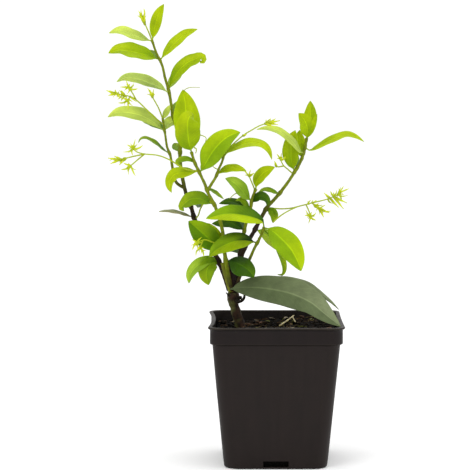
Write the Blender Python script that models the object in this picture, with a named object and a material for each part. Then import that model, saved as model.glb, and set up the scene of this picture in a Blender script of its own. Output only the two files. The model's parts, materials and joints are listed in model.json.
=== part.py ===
"""A young star jasmine in its square nursery pot, with soil, trunk, leafy shoots, old leaves and flower sprays.

Metres, +Z up, the pot's centre on the origin and its foot on z = 0. The front of the pot faces -Y.
Places on the plant are given as they are seen from one viewpoint in front of it: across and down in a square
view of 470 steps, with the distance behind the pot's middle plane (+ away from the viewer) in millimetres.
"""

import math
from collections import namedtuple

import bmesh
import bpy
from mathutils import Vector

MM = 0.001

# The viewpoint that the plant's places are sighted from
EYE = Vector((-27.3, -1348.0, 285.0)) * MM
EYE_PITCH = math.radians(5.56)
VIEW_HALF = 235.0
VIEW_FOCAL = 2000.0

# Steps that a curve is first cut into between two of its given points
CURVE_STEPS = 8

# Pot
POT_HEIGHT = 96.5 * MM
RIM_HALF = 45.7 * MM
BAND_HALF = 44.3 * MM
BAND_HEIGHT = 11.6 * MM
BODY_TOP_HALF = 42.7 * MM
BASE_HALF = 34.7 * MM
BASE_EDGE = 1.6 * MM
BAND_TUCK = 0.3 * MM
LIP_DROP = 2.2 * MM
LIP_FACE = 1.0 * MM
LIP_ROUND = 0.5 * MM
LIP_THICK = 1.3 * MM
INNER_STEP = 1.0 * MM
WALL = 1.3 * MM
FLOOR = 1.8 * MM
RIM_CORNER = 8.0 * MM
BASE_CORNER = 9.5 * MM
CORNER_STEPS = 4
RIM_BOW_LEFT = 2.7 * MM
RIM_BOW = 0.5 * MM
BOW_HEIGHT = 45.0 * MM
BOW_POWER = 1.5
SIDE_SHARES = (0.25, 0.5, 0.75)
SLOT_WIDTH = 17.0 * MM
SLOT_BOTTOM = 1.5 * MM
SLOT_TOP = 5.5 * MM
SLOT_INWARD = 4.0 * MM
SLOT_OUTWARD = 5.0 * MM

# Soil
SOIL_GAP = 0.35 * MM
SOIL_DEPTH = 5.2 * MM
SOIL_SLOPE = 2.3 * MM
SOIL_RIPPLE = 0.6 * MM
SOIL_SIDE_GAP = 0.5 * MM
SOIL_WAIST = 2.2 * MM
SOIL_TOP_GAP = 0.7 * MM
SOIL_EDGE_DROP = 3.2 * MM
SOIL_COVER_INSET = 1.2 * MM
SOIL_COVER_SINK = 1.5 * MM
SOIL_GRID = 12
CORNER_PULL = 0.1

# How fast the soil's lumps follow each other along x and y, in radians per metre
BROAD_LUMPS = (410.0, 370.0)
SMALL_LUMPS = (890.0, 640.0)

# Trunk and stems, radii in metres
STEM_SIDES = 6
TRUNK_SIDES = 8
SEAT_GAP = 0.35 * MM
STUB = 3.0 * MM
ROOT_REACH = 7.0 * MM

# Leaves
BLADE_THICK = 0.7 * MM
PETIOLE_HALF = 0.55 * MM
LEAF_STEPS = 7
PETIOLE_SHARE = 0.09
OLD_PETIOLE_SHARE = 0.02
WIDEST = 0.46
FULLNESS = 1.55
THINNEST_COSINE = 0.4

# Flowers
STALK_RADIUS = 0.45 * MM
PETAL_HALF = 0.95 * MM
PETAL_THICK = 0.7 * MM
BUD_RADIUS = 0.85 * MM
STALK_SIDES = 5
# A bud's or petal's outline: how far along it, and its width there as a share of the widest
BUD_OUTLINE = ((-0.12, 0.65), (0.5, 1.0), (1.0, 0.22))

Leaf = namedtuple("Leaf", "rib width roll fold petiole", defaults=(PETIOLE_SHARE,))
Stem = namedtuple("Stem", "path start end")


def at(across, down, behind):
    """The point seen at (across, down), on the upright plane that lies behind mm past the pot's middle."""
    ahead = Vector((0.0, math.cos(EYE_PITCH), -math.sin(EYE_PITCH)))
    up = Vector((0.0, math.sin(EYE_PITCH), math.cos(EYE_PITCH)))
    ray = ahead * VIEW_FOCAL + Vector((across - VIEW_HALF, 0.0, 0.0)) + up * (VIEW_HALF - down)
    return EYE + ray * ((behind * MM - EYE.y) / ray.y)


# Trunk: from its foot in the soil to the crown
TRUNK = Stem([(244, 346, 2), (240.5, 327, 2), (237, 315, 1.6), (234, 305, 0.8), (233, 299, 0),
              (233, 292, -0.5)], 2.9 * MM, 4.1 * MM)
TRUNK_SPURS = [
    Stem([(234, 299, 0), (238, 298.3, -1), (241.8, 297.4, -1.5)], 1.9 * MM, 1.1 * MM),
    Stem([(231.5, 297, -2), (228.5, 295, -3.4), (225.9, 292.6, -3.8)], 0.8 * MM, 0.4 * MM),
]

# Stems of each shoot; the first one starts on the crown, the others grow from it
STEMS = {
    "shoot_tall": [
        Stem([(229.3, 290.5, 0.3), (226, 280, 0.8), (218, 260, 2), (206, 240, 4), (194, 218, 6),
              (190.6, 205, 7), (186.5, 195, 7.5), (183.5, 183, 8), (181, 169, 8.5), (180, 155, 9),
              (181, 148, 9), (176, 125, 10), (172.5, 115, 10.5), (171, 103, 11), (170, 95, 11),
              (167, 85, 11), (163, 70, 11), (162, 65, 11), (157, 55, 11), (155, 46, 11),
              (152, 40.5, 11)], 1.5 * MM, 0.65 * MM),
        Stem([(184.5, 188, 8), (176, 182, 7), (172.5, 168, 6), (171, 157, 5), (168, 152, 4.5),
              (166.5, 143, 4), (164.7, 131, 3.5), (163.3, 124, 3.5),
              (162.6, 118, 3.5)], 0.95 * MM, 0.55 * MM),
    ],
    "shoot_front": [
        Stem([(231.7, 290.3, -2.7), (229, 280, -4), (226, 262, -6), (223.5, 245, -8), (223, 234, -9),
              (220, 220, -10), (214.3, 204.6, -11), (211, 200, -11.5), (207, 190, -12), (203, 179.6, -13),
              (199, 172, -13.5), (197, 168, -14), (193, 158, -15),
              (191.3, 152, -15.5)], 1.3 * MM, 0.75 * MM),
        Stem([(207.5, 190.5, -12), (211.5, 184, -13), (215, 179, -14), (218.5, 169.5, -16), (222, 162, -17),
              (224, 154, -18)], 0.9 * MM, 0.6 * MM),
    ],
    "shoot_right": [
        Stem([(236.6, 290.4, 0.4), (238, 280, 1), (240, 262, 2), (243, 252, 3), (247.5, 243, 4.5),
              (252.7, 233.5, 6), (255.4, 229, 6.5), (260.5, 219, 7.5), (265.6, 210, 8.5), (269, 204.5, 9),
              (275.7, 198.3, 9.5), (280.2, 192.5, 10), (284.6, 186.7, 10.5), (290.4, 178.7, 11),
              (292.7, 174.6, 11), (297.1, 168, 11), (301.2, 160.4, 11), (303.8, 152.3, 11),
              (305.6, 145.6, 11), (306.7, 138, 11)], 1.5 * MM, 0.7 * MM),
    ],
    "shoot_middle": [
        Stem([(232.7, 289.4, 2.8), (236, 278, 4.5), (238.5, 266, 6.3), (239.5, 254, 7), (241.5, 245, 5.5),
              (245, 228, 2), (249, 212, 0.5), (251.3, 206.9, 0), (251.8, 200.2, -1), (253.6, 193.5, -2),
              (255.8, 189, -2.5)], 1.15 * MM, 0.8 * MM),
    ],
    "shoot_low": [
        Stem([(235.7, 291, -2.2), (240, 276, -4.5), (249.6, 259, -8), (255, 247, -11), (258, 242.4, -12),
              (261, 235, -14), (264, 227.5, -16)], 1.1 * MM, 0.7 * MM),
    ],
}

# Leaves of each shoot: rib from stem to tip, full width in mm, roll towards the sky and half-blade fold in
# degrees, and the share of its length that is petiole where that isn't the usual one.
# A shoot's last ones grow away from the viewer, behind the others.
LEAVES = {
    "shoot_tall": [
        Leaf([(152.2, 41, 11), (155, 26, 9), (158.5, 14, 8), (163.8, 4, 7)], 8, 5, 15),
        Leaf([(152, 41, 11), (143, 38.5, 13), (132, 34, 15), (120, 30, 17), (108.9, 33, 18)], 9.5, 45, 10),
        Leaf([(161, 58.5, 11), (152, 57, 9), (143.5, 54, 7), (130, 51.2, 4), (119, 50, 2), (108.4, 53, 0)],
             16, 50, 15),
        Leaf([(162.5, 59, 11), (168, 50, 13), (176, 41.5, 15), (184, 34.5, 17), (190, 31.5, 18),
              (197.5, 29, 19)], 9, 40, 10),
        Leaf([(169.8, 89, 11), (173, 79, 10), (180, 69, 9), (188, 61.5, 8), (196, 59, 7), (203, 58, 6.5),
              (202, 62.5, 6)], 10.5, 35, 10),
        Leaf([(168.5, 93, 11), (160, 87, 9), (148, 81.5, 6), (136, 78, 3), (125, 77.5, 1),
              (116.5, 81.8, 0)], 10.5, 135, 10),
        Leaf([(164.5, 131, 3.5), (152, 121, 7), (140, 115, 9), (128, 112.5, 11), (117, 112.5, 12),
              (107.7, 117, 13)], 12, 40, 15),
        Leaf([(164.6, 130.5, 3.5), (168.5, 124, 12), (173, 121, 20), (177.5, 124, 26)], 9, 30, 10),
        Leaf([(162.8, 119.5, 3.5), (166.5, 112, 6), (170, 105, 8)], 4.5, 20, 10),
        Leaf([(168.3, 153.5, 4.5), (163, 149, 3), (156, 143, 1), (149, 139, -1), (144.6, 137.8, -2),
              (140.5, 139, -3), (138.2, 142.5, -3.5)], 7, 70, 10),
        Leaf([(180.5, 152, 9.5), (177, 147, 16), (174, 143, 22)], 7, 20, 10),
        Leaf([(193.5, 217.5, 6), (186, 214.8, 4), (177, 212.3, 2), (168, 211.2, 0),
              (158.9, 211.3, -1)], 7, 70, 10),
        Leaf([(217.8, 259.5, 2), (212, 258.5, -1), (203, 262, -4), (195, 267.5, -6), (190, 275, -7),
              (188.8, 283.4, -8)], 9, 25, 10),
        Leaf([(218.6, 261.5, 1.5), (213, 262.5, -3), (207.5, 268, -6), (206.5, 276, -7),
              (208.6, 285.2, -8)], 12, 10, 15),
        Leaf([(161, 58.5, 11), (153, 56, 22), (144, 54, 34), (136, 53, 44)], 9, 40, 10),
        Leaf([(169.8, 89, 11), (172.5, 82, 22), (177.5, 74.5, 33), (184, 67.5, 43)], 7.5, 30, 10),
        Leaf([(172.5, 115, 10.5), (177, 109, 22), (183, 104, 33), (188, 99, 43)], 9, 20, 10),
        Leaf([(164.5, 131, 3.5), (156, 124.5, 16), (147, 119.5, 28), (138, 116.5, 38)], 8, 35, 10),
        Leaf([(190.6, 205, 7), (193, 203, 19), (197.5, 203, 31), (203, 205, 42)], 7.5, 25, 10),
        Leaf([(206, 240, 4), (203, 236, 16), (199, 231, 29), (195, 227, 40)], 8.5, 25, 10),
        Leaf([(218, 260, 2), (213, 263, 14), (208.5, 269, 26), (207, 276, 36)], 8, 20, 10),
    ],
    "shoot_front": [
        Leaf([(191.3, 152.5, -15.5), (188.5, 138, -11), (186.8, 122, -7), (185.6, 107, -5),
              (184.2, 97, -4.3), (182.8, 89.5, -4)], 18.5, 10, 10),
        Leaf([(191, 153, -16), (189.2, 144, -21), (187.8, 134, -25), (187.4, 126, -28), (188, 120.5, -27),
              (189.5, 119, -22.5), (192, 121, -18)], 17, 0, 8),
        Leaf([(199.5, 172.5, -13.5), (204, 166, -16), (211, 154, -20), (219, 144, -22), (229, 136, -23),
              (240.3, 132.2, -22)], 16.5, 20, 12),
        Leaf([(198.5, 171, -13.5), (192, 172, -11), (184, 172.5, -9), (175, 174, -7), (170, 180, -6),
              (169.5, 187, -6), (171.4, 192.6, -6.5)], 9, 30, 10),
        Leaf([(195.5, 163.5, -14.3), (190, 159.5, -15), (183.5, 159, -15), (178, 161, -15),
              (178.5, 164.5, -15.5), (182, 166, -16)], 5, 40, 10),
        Leaf([(213.8, 204.5, -11), (207, 201.5, -9), (199, 198.5, -7), (191, 199, -5), (185, 203, -4),
              (181.5, 207.5, -4), (184, 211, -4.5)], 12, 35, 10),
        Leaf([(207, 189.5, -12), (211, 190, -10), (217, 193.5, -8), (223.7, 198.8, -6)], 5, 60, 10),
        Leaf([(223, 249, -7.6), (217, 246, -9), (209, 239, -10), (198, 229, -11),
              (188.5, 221, -11)], 16, -5, 10),
        Leaf([(223, 240, -8.5), (214, 232, -8), (207, 223, -7)], 7, 20, 10),
        Leaf([(225.6, 260.5, -6), (232.5, 261.5, -10), (241, 265, -15), (249, 270.5, -18),
              (254, 277.5, -20)],
             15, 20, -15),
        Leaf([(223, 157.5, -17.4), (228, 151.5, -18.5), (238, 146, -20), (250, 142.5, -22), (261, 144, -23),
              (268.5, 150, -24), (272, 159.5, -24.5)], 9, 50, 10),
        Leaf([(216.7, 174.5, -14.8), (223, 171, -16), (231, 169.3, -18), (239, 169.5, -19.5),
              (246.4, 171.2, -21)], 8, 40, 30),
        Leaf([(199.5, 172.5, -13.5), (207, 164, -1), (216, 154, 11), (226, 146.5, 22)], 9, 25, 10),
    ],
    "shoot_right": [
        Leaf([(266, 209, 8.6), (271.5, 211, 6), (274, 216, 4), (272.6, 222.5, 3)], 6.5, 20, 10),
        Leaf([(280, 193, 10), (276.5, 192.5, 8), (270, 190, 6), (264, 189.5, 5),
              (258.5, 192, 4)], 4.5, 45, 10),
        Leaf([(294.5, 171.8, 11), (290.5, 163, 6), (288.5, 152, 2), (290, 141, 0),
              (294.6, 130.2, -1)], 9, 25, 10),
        Leaf([(303.6, 153, 11), (299.5, 150.5, 9), (293, 142, 7), (285.7, 135.5, 6), (277, 130, 5),
              (267, 128, 4), (256.7, 129.3, 3)], 8, 45, 10),
        Leaf([(302, 158.5, 11), (301, 150, 15), (299.5, 140, 17), (299.5, 130, 18)], 9, -20, 10),
        Leaf([(306.5, 139, 11), (307.5, 130, 7), (305, 121, 4), (298.7, 113.2, 2)], 11, 20, 10),
        Leaf([(306.8, 138.5, 11), (309.5, 125, 13), (310.5, 112, 14), (310.3, 100.7, 14.5)], 9.5, 10, 10),
        Leaf([(306.7, 139.5, 11), (311, 130, 7.5), (314.5, 121, 5), (317, 114, 4)], 4.5, 10, 10),
        Leaf([(305.4, 147, 11), (311, 150, 11), (326.5, 142, 13), (344, 134.5, 15), (355, 136, 16),
              (364, 141.5, 17)], 7.5, 50, 10),
        Leaf([(255.4, 229, 6.5), (265, 234.5, 17), (276, 243, 30), (285, 253, 41)], 9.5, 20, 10),
        Leaf([(297.1, 168, 11), (294.5, 160, 24), (292, 151, 35), (291.5, 142, 44)], 7.5, 20, 10),
    ],
    "shoot_middle": [
        Leaf([(251.6, 201.5, -0.8), (246.5, 196, -3), (240, 188, -6), (233, 182, -9), (225.4, 178.3, -11)],
             11, 35, 12),
        Leaf([(255.7, 189.5, -2.4), (257, 181, -4), (261.5, 174.5, -6), (268, 170, -8), (274.8, 167, -9)],
             9, 25, 10),
        Leaf([(251.6, 203.5, -0.6), (255.5, 198.5, -3), (260.5, 196, -5), (265.5, 198, -6),
              (267.8, 202, -6.5), (267, 206, -6.5)], 7, 30, 10),
        Leaf([(248.8, 213, 0.6), (241, 205, 2), (230, 201.5, 4), (219, 203.5, 5)], 7, 40, 10),
        Leaf([(249.5, 210, 0.3), (245, 203, -3), (240.5, 199.5, -5), (235.7, 200.6, -6)], 4.5, 30, 10),
        Leaf([(244.6, 231, 2.4), (238, 226, 0), (229, 222.5, -1), (220, 223.5, -2),
              (212, 223.5, -3)], 8, 30, 10),
        Leaf([(244.6, 231, 2.4), (240, 226, 14), (232, 222, 27), (223, 220.5, 39)], 9, 30, 10),
        Leaf([(239.5, 254, 7), (234, 249, 18), (227, 247, 30), (219.5, 249, 41)], 8.5, 25, 10),
    ],
    "shoot_low": [
        Leaf([(264, 228, -16), (270, 229.5, -18), (279, 236.5, -22), (290, 248, -26), (297, 260, -28),
              (301.1, 271.2, -29)], 17, 10, 12),
        Leaf([(263.4, 229.5, -15.5), (272, 238, -12), (277, 245, -10.5), (282, 257, -10), (284.5, 268, -10),
              (282.5, 274.5, -10.5), (277.5, 274.5, -11)], 5, 30, 10),
        Leaf([(264, 227.5, -16), (262, 221, -19), (250, 216.5, -23), (235, 214, -26), (222, 214.5, -28),
              (206, 218.5, -29)], 14, 35, 15),
        Leaf([(257.6, 243, -12), (247, 240.5, -15), (236, 241, -18), (226, 244.5, -20), (216, 250, -22),
              (209, 257, -23)], 13.5, 25, 12),
    ],
}

# Two old leaves that start beside the crown
OLD_LEAVES = {
    "old_leaf_front": Leaf([(230, 289.2, -4.9), (240, 287.5, -8), (255, 287.5, -12), (270, 289, -17),
                            (290, 293.3, -24), (310, 302, -32), (325, 314, -40), (340.5, 326.3, -46.5)],
                           21, 20, 8, OLD_PETIOLE_SHARE),
    "old_leaf_back": Leaf([(236.5, 291, 3.6), (245, 286, 6), (262, 282, 10), (285, 280, 15), (305, 284, 19),
                           (318, 292, 22), (330, 301, 24), (338.9, 309.4, 25)], 9, 60, 10),
}

# Flower sprays: the shoot that carries each one, its stalks, its petals and its buds (from, to)
SPRAYS = {
    "spray_top": dict(
        parent="shoot_tall",
        stalks=[[(152.2, 41, 11), (149, 33, 10.5), (145, 24, 10), (142.5, 19, 10)]],
        petals=[((142.5, 19, 10), (138.3, 10.5, 9)), ((142.5, 19, 10), (140.8, 9.5, 12)),
                ((142.5, 19, 10), (143.8, 8.5, 9))],
        buds=[((144.6, 23.5, 10), (139.3, 14.5, 8)), ((144.6, 23.5, 10), (144.2, 14, 8.5)),
              ((144.8, 24, 10), (141.5, 13, 12))]),
    "spray_upper_left": dict(
        parent="shoot_tall",
        stalks=[[(163.3, 124.5, 3.5), (156.6, 119, -1), (147, 110, -4), (136.7, 100.3, -6), (130, 96.5, -7),
                 (118, 94, -8), (113, 92.8, -8)],
                [(136.2, 100, -6), (133, 94, -7.5), (129.5, 88.5, -8)],
                [(130, 96.5, -7), (128, 100, -8)]],
        petals=[((129.3, 88, -8), (120, 87, -9)), ((129.3, 88, -8), (126, 80, -7.5)),
                ((129.3, 88, -8), (137.8, 88.6, -9)), ((129.3, 88, -8), (127.3, 94, -11)),
                ((129.3, 88, -8), (133.5, 83, -6)),
                ((128, 100, -8), (118, 103, -9)), ((128, 100, -8), (133, 106, -9)),
                ((128, 100, -8), (128.5, 109, -8)), ((128, 100, -8), (122, 97.5, -11)),
                ((118, 94, -8), (113, 97.5, -9)), ((118, 94, -8), (115, 89.5, -7)),
                ((122, 94.8, -7.8), (119, 90.5, -8.5)), ((122, 94.8, -7.8), (117.5, 99.5, -9)),
                ((126, 95.6, -7.4), (121, 101, -6)), ((130, 96.5, -7), (137, 102, -8))],
        buds=[((114, 93, -8), (106.5, 90.5, -8)), ((115, 93.5, -8), (108.5, 95.5, -9.5)),
              ((118, 94, -8), (119.5, 98, -10)), ((124, 95, -7.5), (121.5, 90.5, -8))]),
    "spray_small_left": dict(
        parent="shoot_tall",
        stalks=[[(162.7, 119, 3.5), (159, 109, 1), (155, 101.5, -1), (152, 96.5, -2)]],
        petals=[((152.4, 97.2, -2), (147.5, 88, -3)), ((152.4, 97.2, -2), (153.8, 89, -2.5))],
        buds=[((152.4, 97.2, -2), (150, 90, -3.5))]),
    "spray_middle_left": dict(
        parent="shoot_front",
        stalks=[[(198.6, 171, -13.6), (187, 169.5, -17), (178, 165, -18), (170, 160, -19),
                 (158, 155.4, -20), (144.6, 154, -21), (137, 152, -21), (133.5, 149, -21)],
                [(144.6, 154, -21), (133, 156.5, -22), (118, 160, -23)],
                [(144.6, 154, -21), (138, 159.5, -21), (131, 165.4, -21)]],
        petals=[((133.5, 148.5, -21), (126.8, 144.7, -22)), ((133.5, 148.5, -21), (135.3, 139.2, -21)),
                ((133.5, 148.5, -21), (142.6, 145.4, -22)), ((133.5, 148.5, -21), (123, 152, -22)),
                ((133.5, 148.5, -21), (133, 155.4, -24)),
                ((130.6, 165.7, -21), (121, 169.7, -22)), ((130.6, 165.7, -21), (128.6, 174.6, -21)),
                ((130.6, 165.7, -21), (135.3, 175.8, -22)), ((130.6, 165.7, -21), (123.5, 163, -22)),
                ((121, 159.3, -22.8), (116, 162.5, -21.5)), ((126, 158.1, -22.4), (121.5, 161.5, -21)),
                ((118, 160, -23), (109.5, 160.8, -22))],
        buds=[((119, 160, -23), (108, 158, -23)), ((119, 160, -23), (110.5, 163.7, -24)),
              ((121, 159.5, -23), (114.5, 156, -22)), ((124, 158.6, -22.5), (119.5, 165, -22))]),
    "spray_lower_left": dict(
        parent="shoot_front",
        stalks=[[(223.6, 246.5, -7.8), (218, 244, -11.5), (212, 242, -14), (205, 239.8, -16),
                 (198.5, 242, -17.5)],
                [(203, 240, -16.6), (201.5, 244, -17.6), (200.3, 248, -18)]],
        petals=[((198, 243, -17.5), (192, 239.4, -18)), ((198, 243, -17.5), (190.8, 245.4, -18)),
                ((198, 243, -17.5), (192.4, 250, -18)), ((198, 243, -17.5), (201.8, 237, -18)),
                ((200.3, 248, -18), (196, 256.6, -18)), ((200.3, 248, -18), (203.8, 256.6, -18)),
                ((200.3, 248, -18), (205.8, 250.6, -18.5))],
        buds=[((200.5, 246, -18), (197, 250.5, -20))]),
    "spray_centre": dict(
        parent="shoot_front",
        stalks=[[(223.9, 155, -17.8), (227, 150, -15), (231, 146, -13.5), (243, 135.5, -13),
                 (251, 130.5, -13.5), (258.9, 126, -14), (267, 123, -14.5)]],
        petals=[((268, 122.8, -14.5), (275.9, 118.4, -14)), ((266, 123.2, -14.5), (270.5, 118.6, -13.5))],
        buds=[((267, 123, -14.5), (280, 120.6, -15)), ((267, 123, -14.5), (278, 124.6, -13.5)),
              ((265, 123.6, -14.5), (272.5, 126, -16)), ((243, 135.5, -13), (246.5, 134.6, -15))]),
    "spray_small_centre": dict(
        parent="shoot_middle",
        stalks=[[(255, 190.5, -2.2), (252, 183, 0.5), (249, 176, 1)]],
        petals=[((249.2, 176.5, 1), (244, 170.5, 1)), ((249.2, 176.5, 1), (250.5, 169.5, 1.5))],
        buds=[((249.2, 176.5, 1), (254, 173, 2))]),
    "spray_right_top": dict(
        parent="shoot_right",
        stalks=[[(293.1, 174, 11), (287.5, 169, 9.5), (283.5, 165.5, 8), (280.8, 160.5, 7)],
                [(284, 165.9, 8.2), (279, 166.8, 6.5), (275.5, 166.5, 5.5)]],
        petals=[((280.8, 160, 7), (276.8, 154, 7)), ((280.8, 160, 7), (281.5, 153, 6)),
                ((280.8, 160, 7), (285.5, 156.5, 6.5))],
        buds=[((276.5, 166.6, 5.8), (274.5, 161, 5))]),
    "spray_right": dict(
        parent="shoot_right",
        stalks=[[(267.2, 207.3, 8.8), (273.8, 208.4, 10.5), (283, 208.8, 12), (292, 208, 13),
                 (300, 206, 14), (311.7, 203, 15), (326, 199.5, 16), (334, 196.3, 16), (338, 194.3, 16)],
                [(273, 222.3, -6), (278, 217.8, 0), (284, 213.4, 6), (291, 209.6, 11), (297, 207, 13.5)],
                [(306, 204.6, 14.5), (308.5, 210, 13), (310.5, 215.8, 12)],
                [(312, 203, 15), (317, 207.5, 14), (321, 209.5, 14)]],
        petals=[((310.5, 216, 12), (304.6, 215.4, 11)), ((310.5, 216, 12), (308.6, 223.6, 12)),
                ((310.5, 216, 12), (316, 220.2, 11)), ((310.5, 216, 12), (305.8, 209.8, 12)),
                ((310.5, 216, 12), (316, 212.2, 13)),
                ((334, 196.3, 16), (330.6, 191, 15)), ((334, 196.3, 16), (336.5, 190, 15)),
                ((338, 194.3, 16), (343.5, 186.3, 15)), ((338, 194.3, 16), (349, 188.6, 16)),
                ((338, 194.3, 16), (347.8, 195, 14)), ((338, 194.3, 16), (341.5, 200.5, 17)),
                ((328, 198.9, 16), (333, 203.4, 17)), ((308, 204.2, 14.7), (311, 199.8, 15)),
                ((312, 203, 15), (316.5, 200, 16)), ((314, 204.8, 14.6), (322.5, 205.5, 15)),
                ((316, 206.6, 14.2), (325, 210, 13)), ((319, 208.5, 14), (331, 211, 15)),
                ((318, 208, 14), (319.5, 214.5, 13))],
        buds=[((321, 209.5, 14), (329.5, 213, 14)), ((320, 209, 14), (323.7, 217.4, 13)),
              ((334, 197, 16), (347, 203, 16)), ((334, 197, 16), (343.6, 209, 15)),
              ((330, 198.3, 16), (338.5, 207.4, 14)), ((330, 198.3, 16), (324, 193, 16))]),
}

# Straw that lies across the soil
STRAW = [
    Stem([(279.7, 325.6, -14), (286.5, 321, 6), (293.8, 315.6, 26)], 0.55 * MM, 0.5 * MM),
    Stem([(292.2, 316.8, 21), (295.5, 322.2, 5)], 0.4 * MM, 0.4 * MM),
]


def clear_scene():
    for obj in list(bpy.data.objects):
        bpy.data.objects.remove(obj, do_unlink=True)


def material(name, colour, roughness, metallic=0.0):
    made = bpy.data.materials.new(name)
    made.use_nodes = True
    shader = made.node_tree.nodes["Principled BSDF"]
    shader.inputs["Base Color"].default_value = (*colour, 1.0)
    shader.inputs["Roughness"].default_value = roughness
    shader.inputs["Metallic"].default_value = metallic
    return made


def new_object(name, points, faces, finish):
    mesh = bpy.data.meshes.new(name)
    mesh.from_pydata([tuple(p) for p in points], [], faces)
    shell = bmesh.new()
    shell.from_mesh(mesh)
    bmesh.ops.triangulate(shell, faces=shell.faces)
    bmesh.ops.recalc_face_normals(shell, faces=shell.faces)
    shell.to_mesh(mesh)
    shell.free()
    mesh.materials.append(finish)
    obj = bpy.data.objects.new(name, mesh)
    bpy.context.scene.collection.objects.link(obj)
    return obj


def smooth_path(points, steps):
    """Points evenly spread along a Catmull-Rom curve through the given ones."""
    ends = [points[0] * 2 - points[1]] + points + [points[-1] * 2 - points[-2]]
    fine = []
    for before, start, end, after in zip(ends, ends[1:], ends[2:], ends[3:]):
        for step in range(CURVE_STEPS):
            t = step / CURVE_STEPS
            fine.append(0.5 * ((2 * start) + (end - before) * t
                               + (2 * before - 5 * start + 4 * end - after) * t ** 2
                               + (3 * start - before - 3 * end + after) * t ** 3))
    fine.append(points[-1])
    lengths = [0.0]
    for start, end in zip(fine, fine[1:]):
        lengths.append(lengths[-1] + (end - start).length)
    spread = []
    index = 0
    for step in range(steps + 1):
        target = lengths[-1] * step / steps
        while index < len(fine) - 2 and lengths[index + 1] < target:
            index += 1
        share = (target - lengths[index]) / max(lengths[index + 1] - lengths[index], 1e-9)
        spread.append(fine[index].lerp(fine[index + 1], min(max(share, 0.0), 1.0)))
    return spread


def directions(path):
    ahead = []
    for index in range(len(path)):
        start = path[max(index - 1, 0)]
        end = path[min(index + 1, len(path) - 1)]
        ahead.append((end - start).normalized())
    return ahead


def skin(rings):
    """Faces over a row of equal rings of point numbers, with flat ends."""
    faces = [tuple(rings[0][::-1]), tuple(rings[-1])]
    for low, high in zip(rings, rings[1:]):
        for index in range(len(low)):
            following = (index + 1) % len(low)
            faces.append((low[index], low[following], high[following], high[index]))
    return faces


def tube(name, path, radii, sides, finish):
    side = directions(path)[0].orthogonal().normalized()
    points = []
    rings = []
    for place, ahead, radius in zip(path, directions(path), radii):
        side = (side - ahead * side.dot(ahead)).normalized()
        across = ahead.cross(side)
        ring = []
        for index in range(sides):
            angle = 2 * math.pi * index / sides
            ring.append(len(points))
            points.append(place + (side * math.cos(angle) + across * math.sin(angle)) * radius)
        rings.append(ring)
    return new_object(name, points, skin(rings), finish)


def stem_axis(stem):
    spots = [at(*place) for place in stem.path]
    return smooth_path(spots, max(2, len(spots) - 1))


def stem_tube(name, stem, sides, finish, extra=0.0):
    """A tapering tube along a stem; extra widens it and starts it deeper, to cut a hole that it stands in."""
    path = stem_axis(stem)
    path[0] = path[0] - directions(path)[0] * extra * 3
    count = len(path) - 1
    radii = [stem.start + (stem.end - stem.start) * index / count + extra for index in range(count + 1)]
    return tube(name, path, radii, sides, finish)


def spindle(name, start, end, half_wide, half_thick, sides, finish):
    """A pointed bud or petal between two points, its blunt root sunk behind the first one."""
    ahead = (end - start).normalized()
    level = (EYE - start).cross(ahead).normalized()
    deep = ahead.cross(level)
    points = []
    rings = []
    for share, size in BUD_OUTLINE:
        ring = []
        for index in range(sides):
            angle = 2 * math.pi * index / sides
            offset = level * math.cos(angle) * half_wide + deep * math.sin(angle) * half_thick
            ring.append(len(points))
            points.append(start.lerp(end, share) + offset * size)
        rings.append(ring)
    return new_object(name, points, skin(rings), finish)


def blade_half(share, petiole):
    """Half the blade's width at a share of the leaf's length, 1 at its widest."""
    if share <= petiole:
        return 0.0
    along = (share - petiole) / (1 - petiole)
    rise = (along / WIDEST) ** (FULLNESS * WIDEST)
    fall = ((1 - along) / (1 - WIDEST)) ** (FULLNESS * (1 - WIDEST))
    return rise * fall


def leaf_sides(ahead, place, roll, leftwards):
    """Across the leaf and out of its upper face, with a positive roll turning that face to the sky."""
    towards = (EYE - place).normalized()
    across = ahead.cross(towards).normalized()
    out = across.cross(ahead)
    if leftwards:
        across = -across
    turn = math.radians(roll)
    return across * math.cos(turn) + out * math.sin(turn), out * math.cos(turn) - across * math.sin(turn)


def leaf_body(name, leaf, root, finish, steps=LEAF_STEPS, thick=BLADE_THICK):
    path = smooth_path([root] + [at(*place) for place in leaf.rib[1:]], steps)
    leftwards = path[-1].x < path[0].x
    fold = math.radians(leaf.fold)
    drop = thick / max(math.cos(fold), THINNEST_COSINE)
    points = []
    rings = []
    for index, (place, ahead) in enumerate(zip(path, directions(path))):
        across, out = leaf_sides(ahead, place, leaf.roll, leftwards)
        half = max(blade_half(index / steps, leaf.petiole) * leaf.width * MM / 2, PETIOLE_HALF)
        near = place + (across * math.cos(fold) + out * math.sin(fold)) * half
        far = place + (out * math.sin(fold) - across * math.cos(fold)) * half
        below = out * drop
        ring = list(range(len(points), len(points) + 6))
        points += [near, place, far, far - below, place - below, near - below]
        rings.append(ring)
    return new_object(name, points, blade_faces(rings), finish)


def blade_faces(rings):
    """A folded blade's faces, its upper and lower sides split alike."""
    first = rings[0]
    last = rings[-1]
    faces = [(first[0], first[1], first[4], first[5]), (first[1], first[2], first[3], first[4]),
             (last[1], last[0], last[5], last[4]), (last[2], last[1], last[4], last[3])]
    for low, high in zip(rings, rings[1:]):
        near, rib, far, far_low, rib_low, near_low = low
        near_b, rib_b, far_b, far_low_b, rib_low_b, near_low_b = high
        faces += [(near, near_b, rib_b), (near, rib_b, rib), (rib, rib_b, far_b), (rib, far_b, far)]
        faces += [(near_low, rib_low_b, near_low_b), (near_low, rib_low, rib_low_b)]
        faces += [(rib_low, far_low_b, rib_low_b), (rib_low, far_low, far_low_b)]
        faces += [(near, near_low, near_low_b), (near, near_low_b, near_b)]
        faces += [(far, far_b, far_low_b), (far, far_low_b, far_low)]
    return faces


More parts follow.
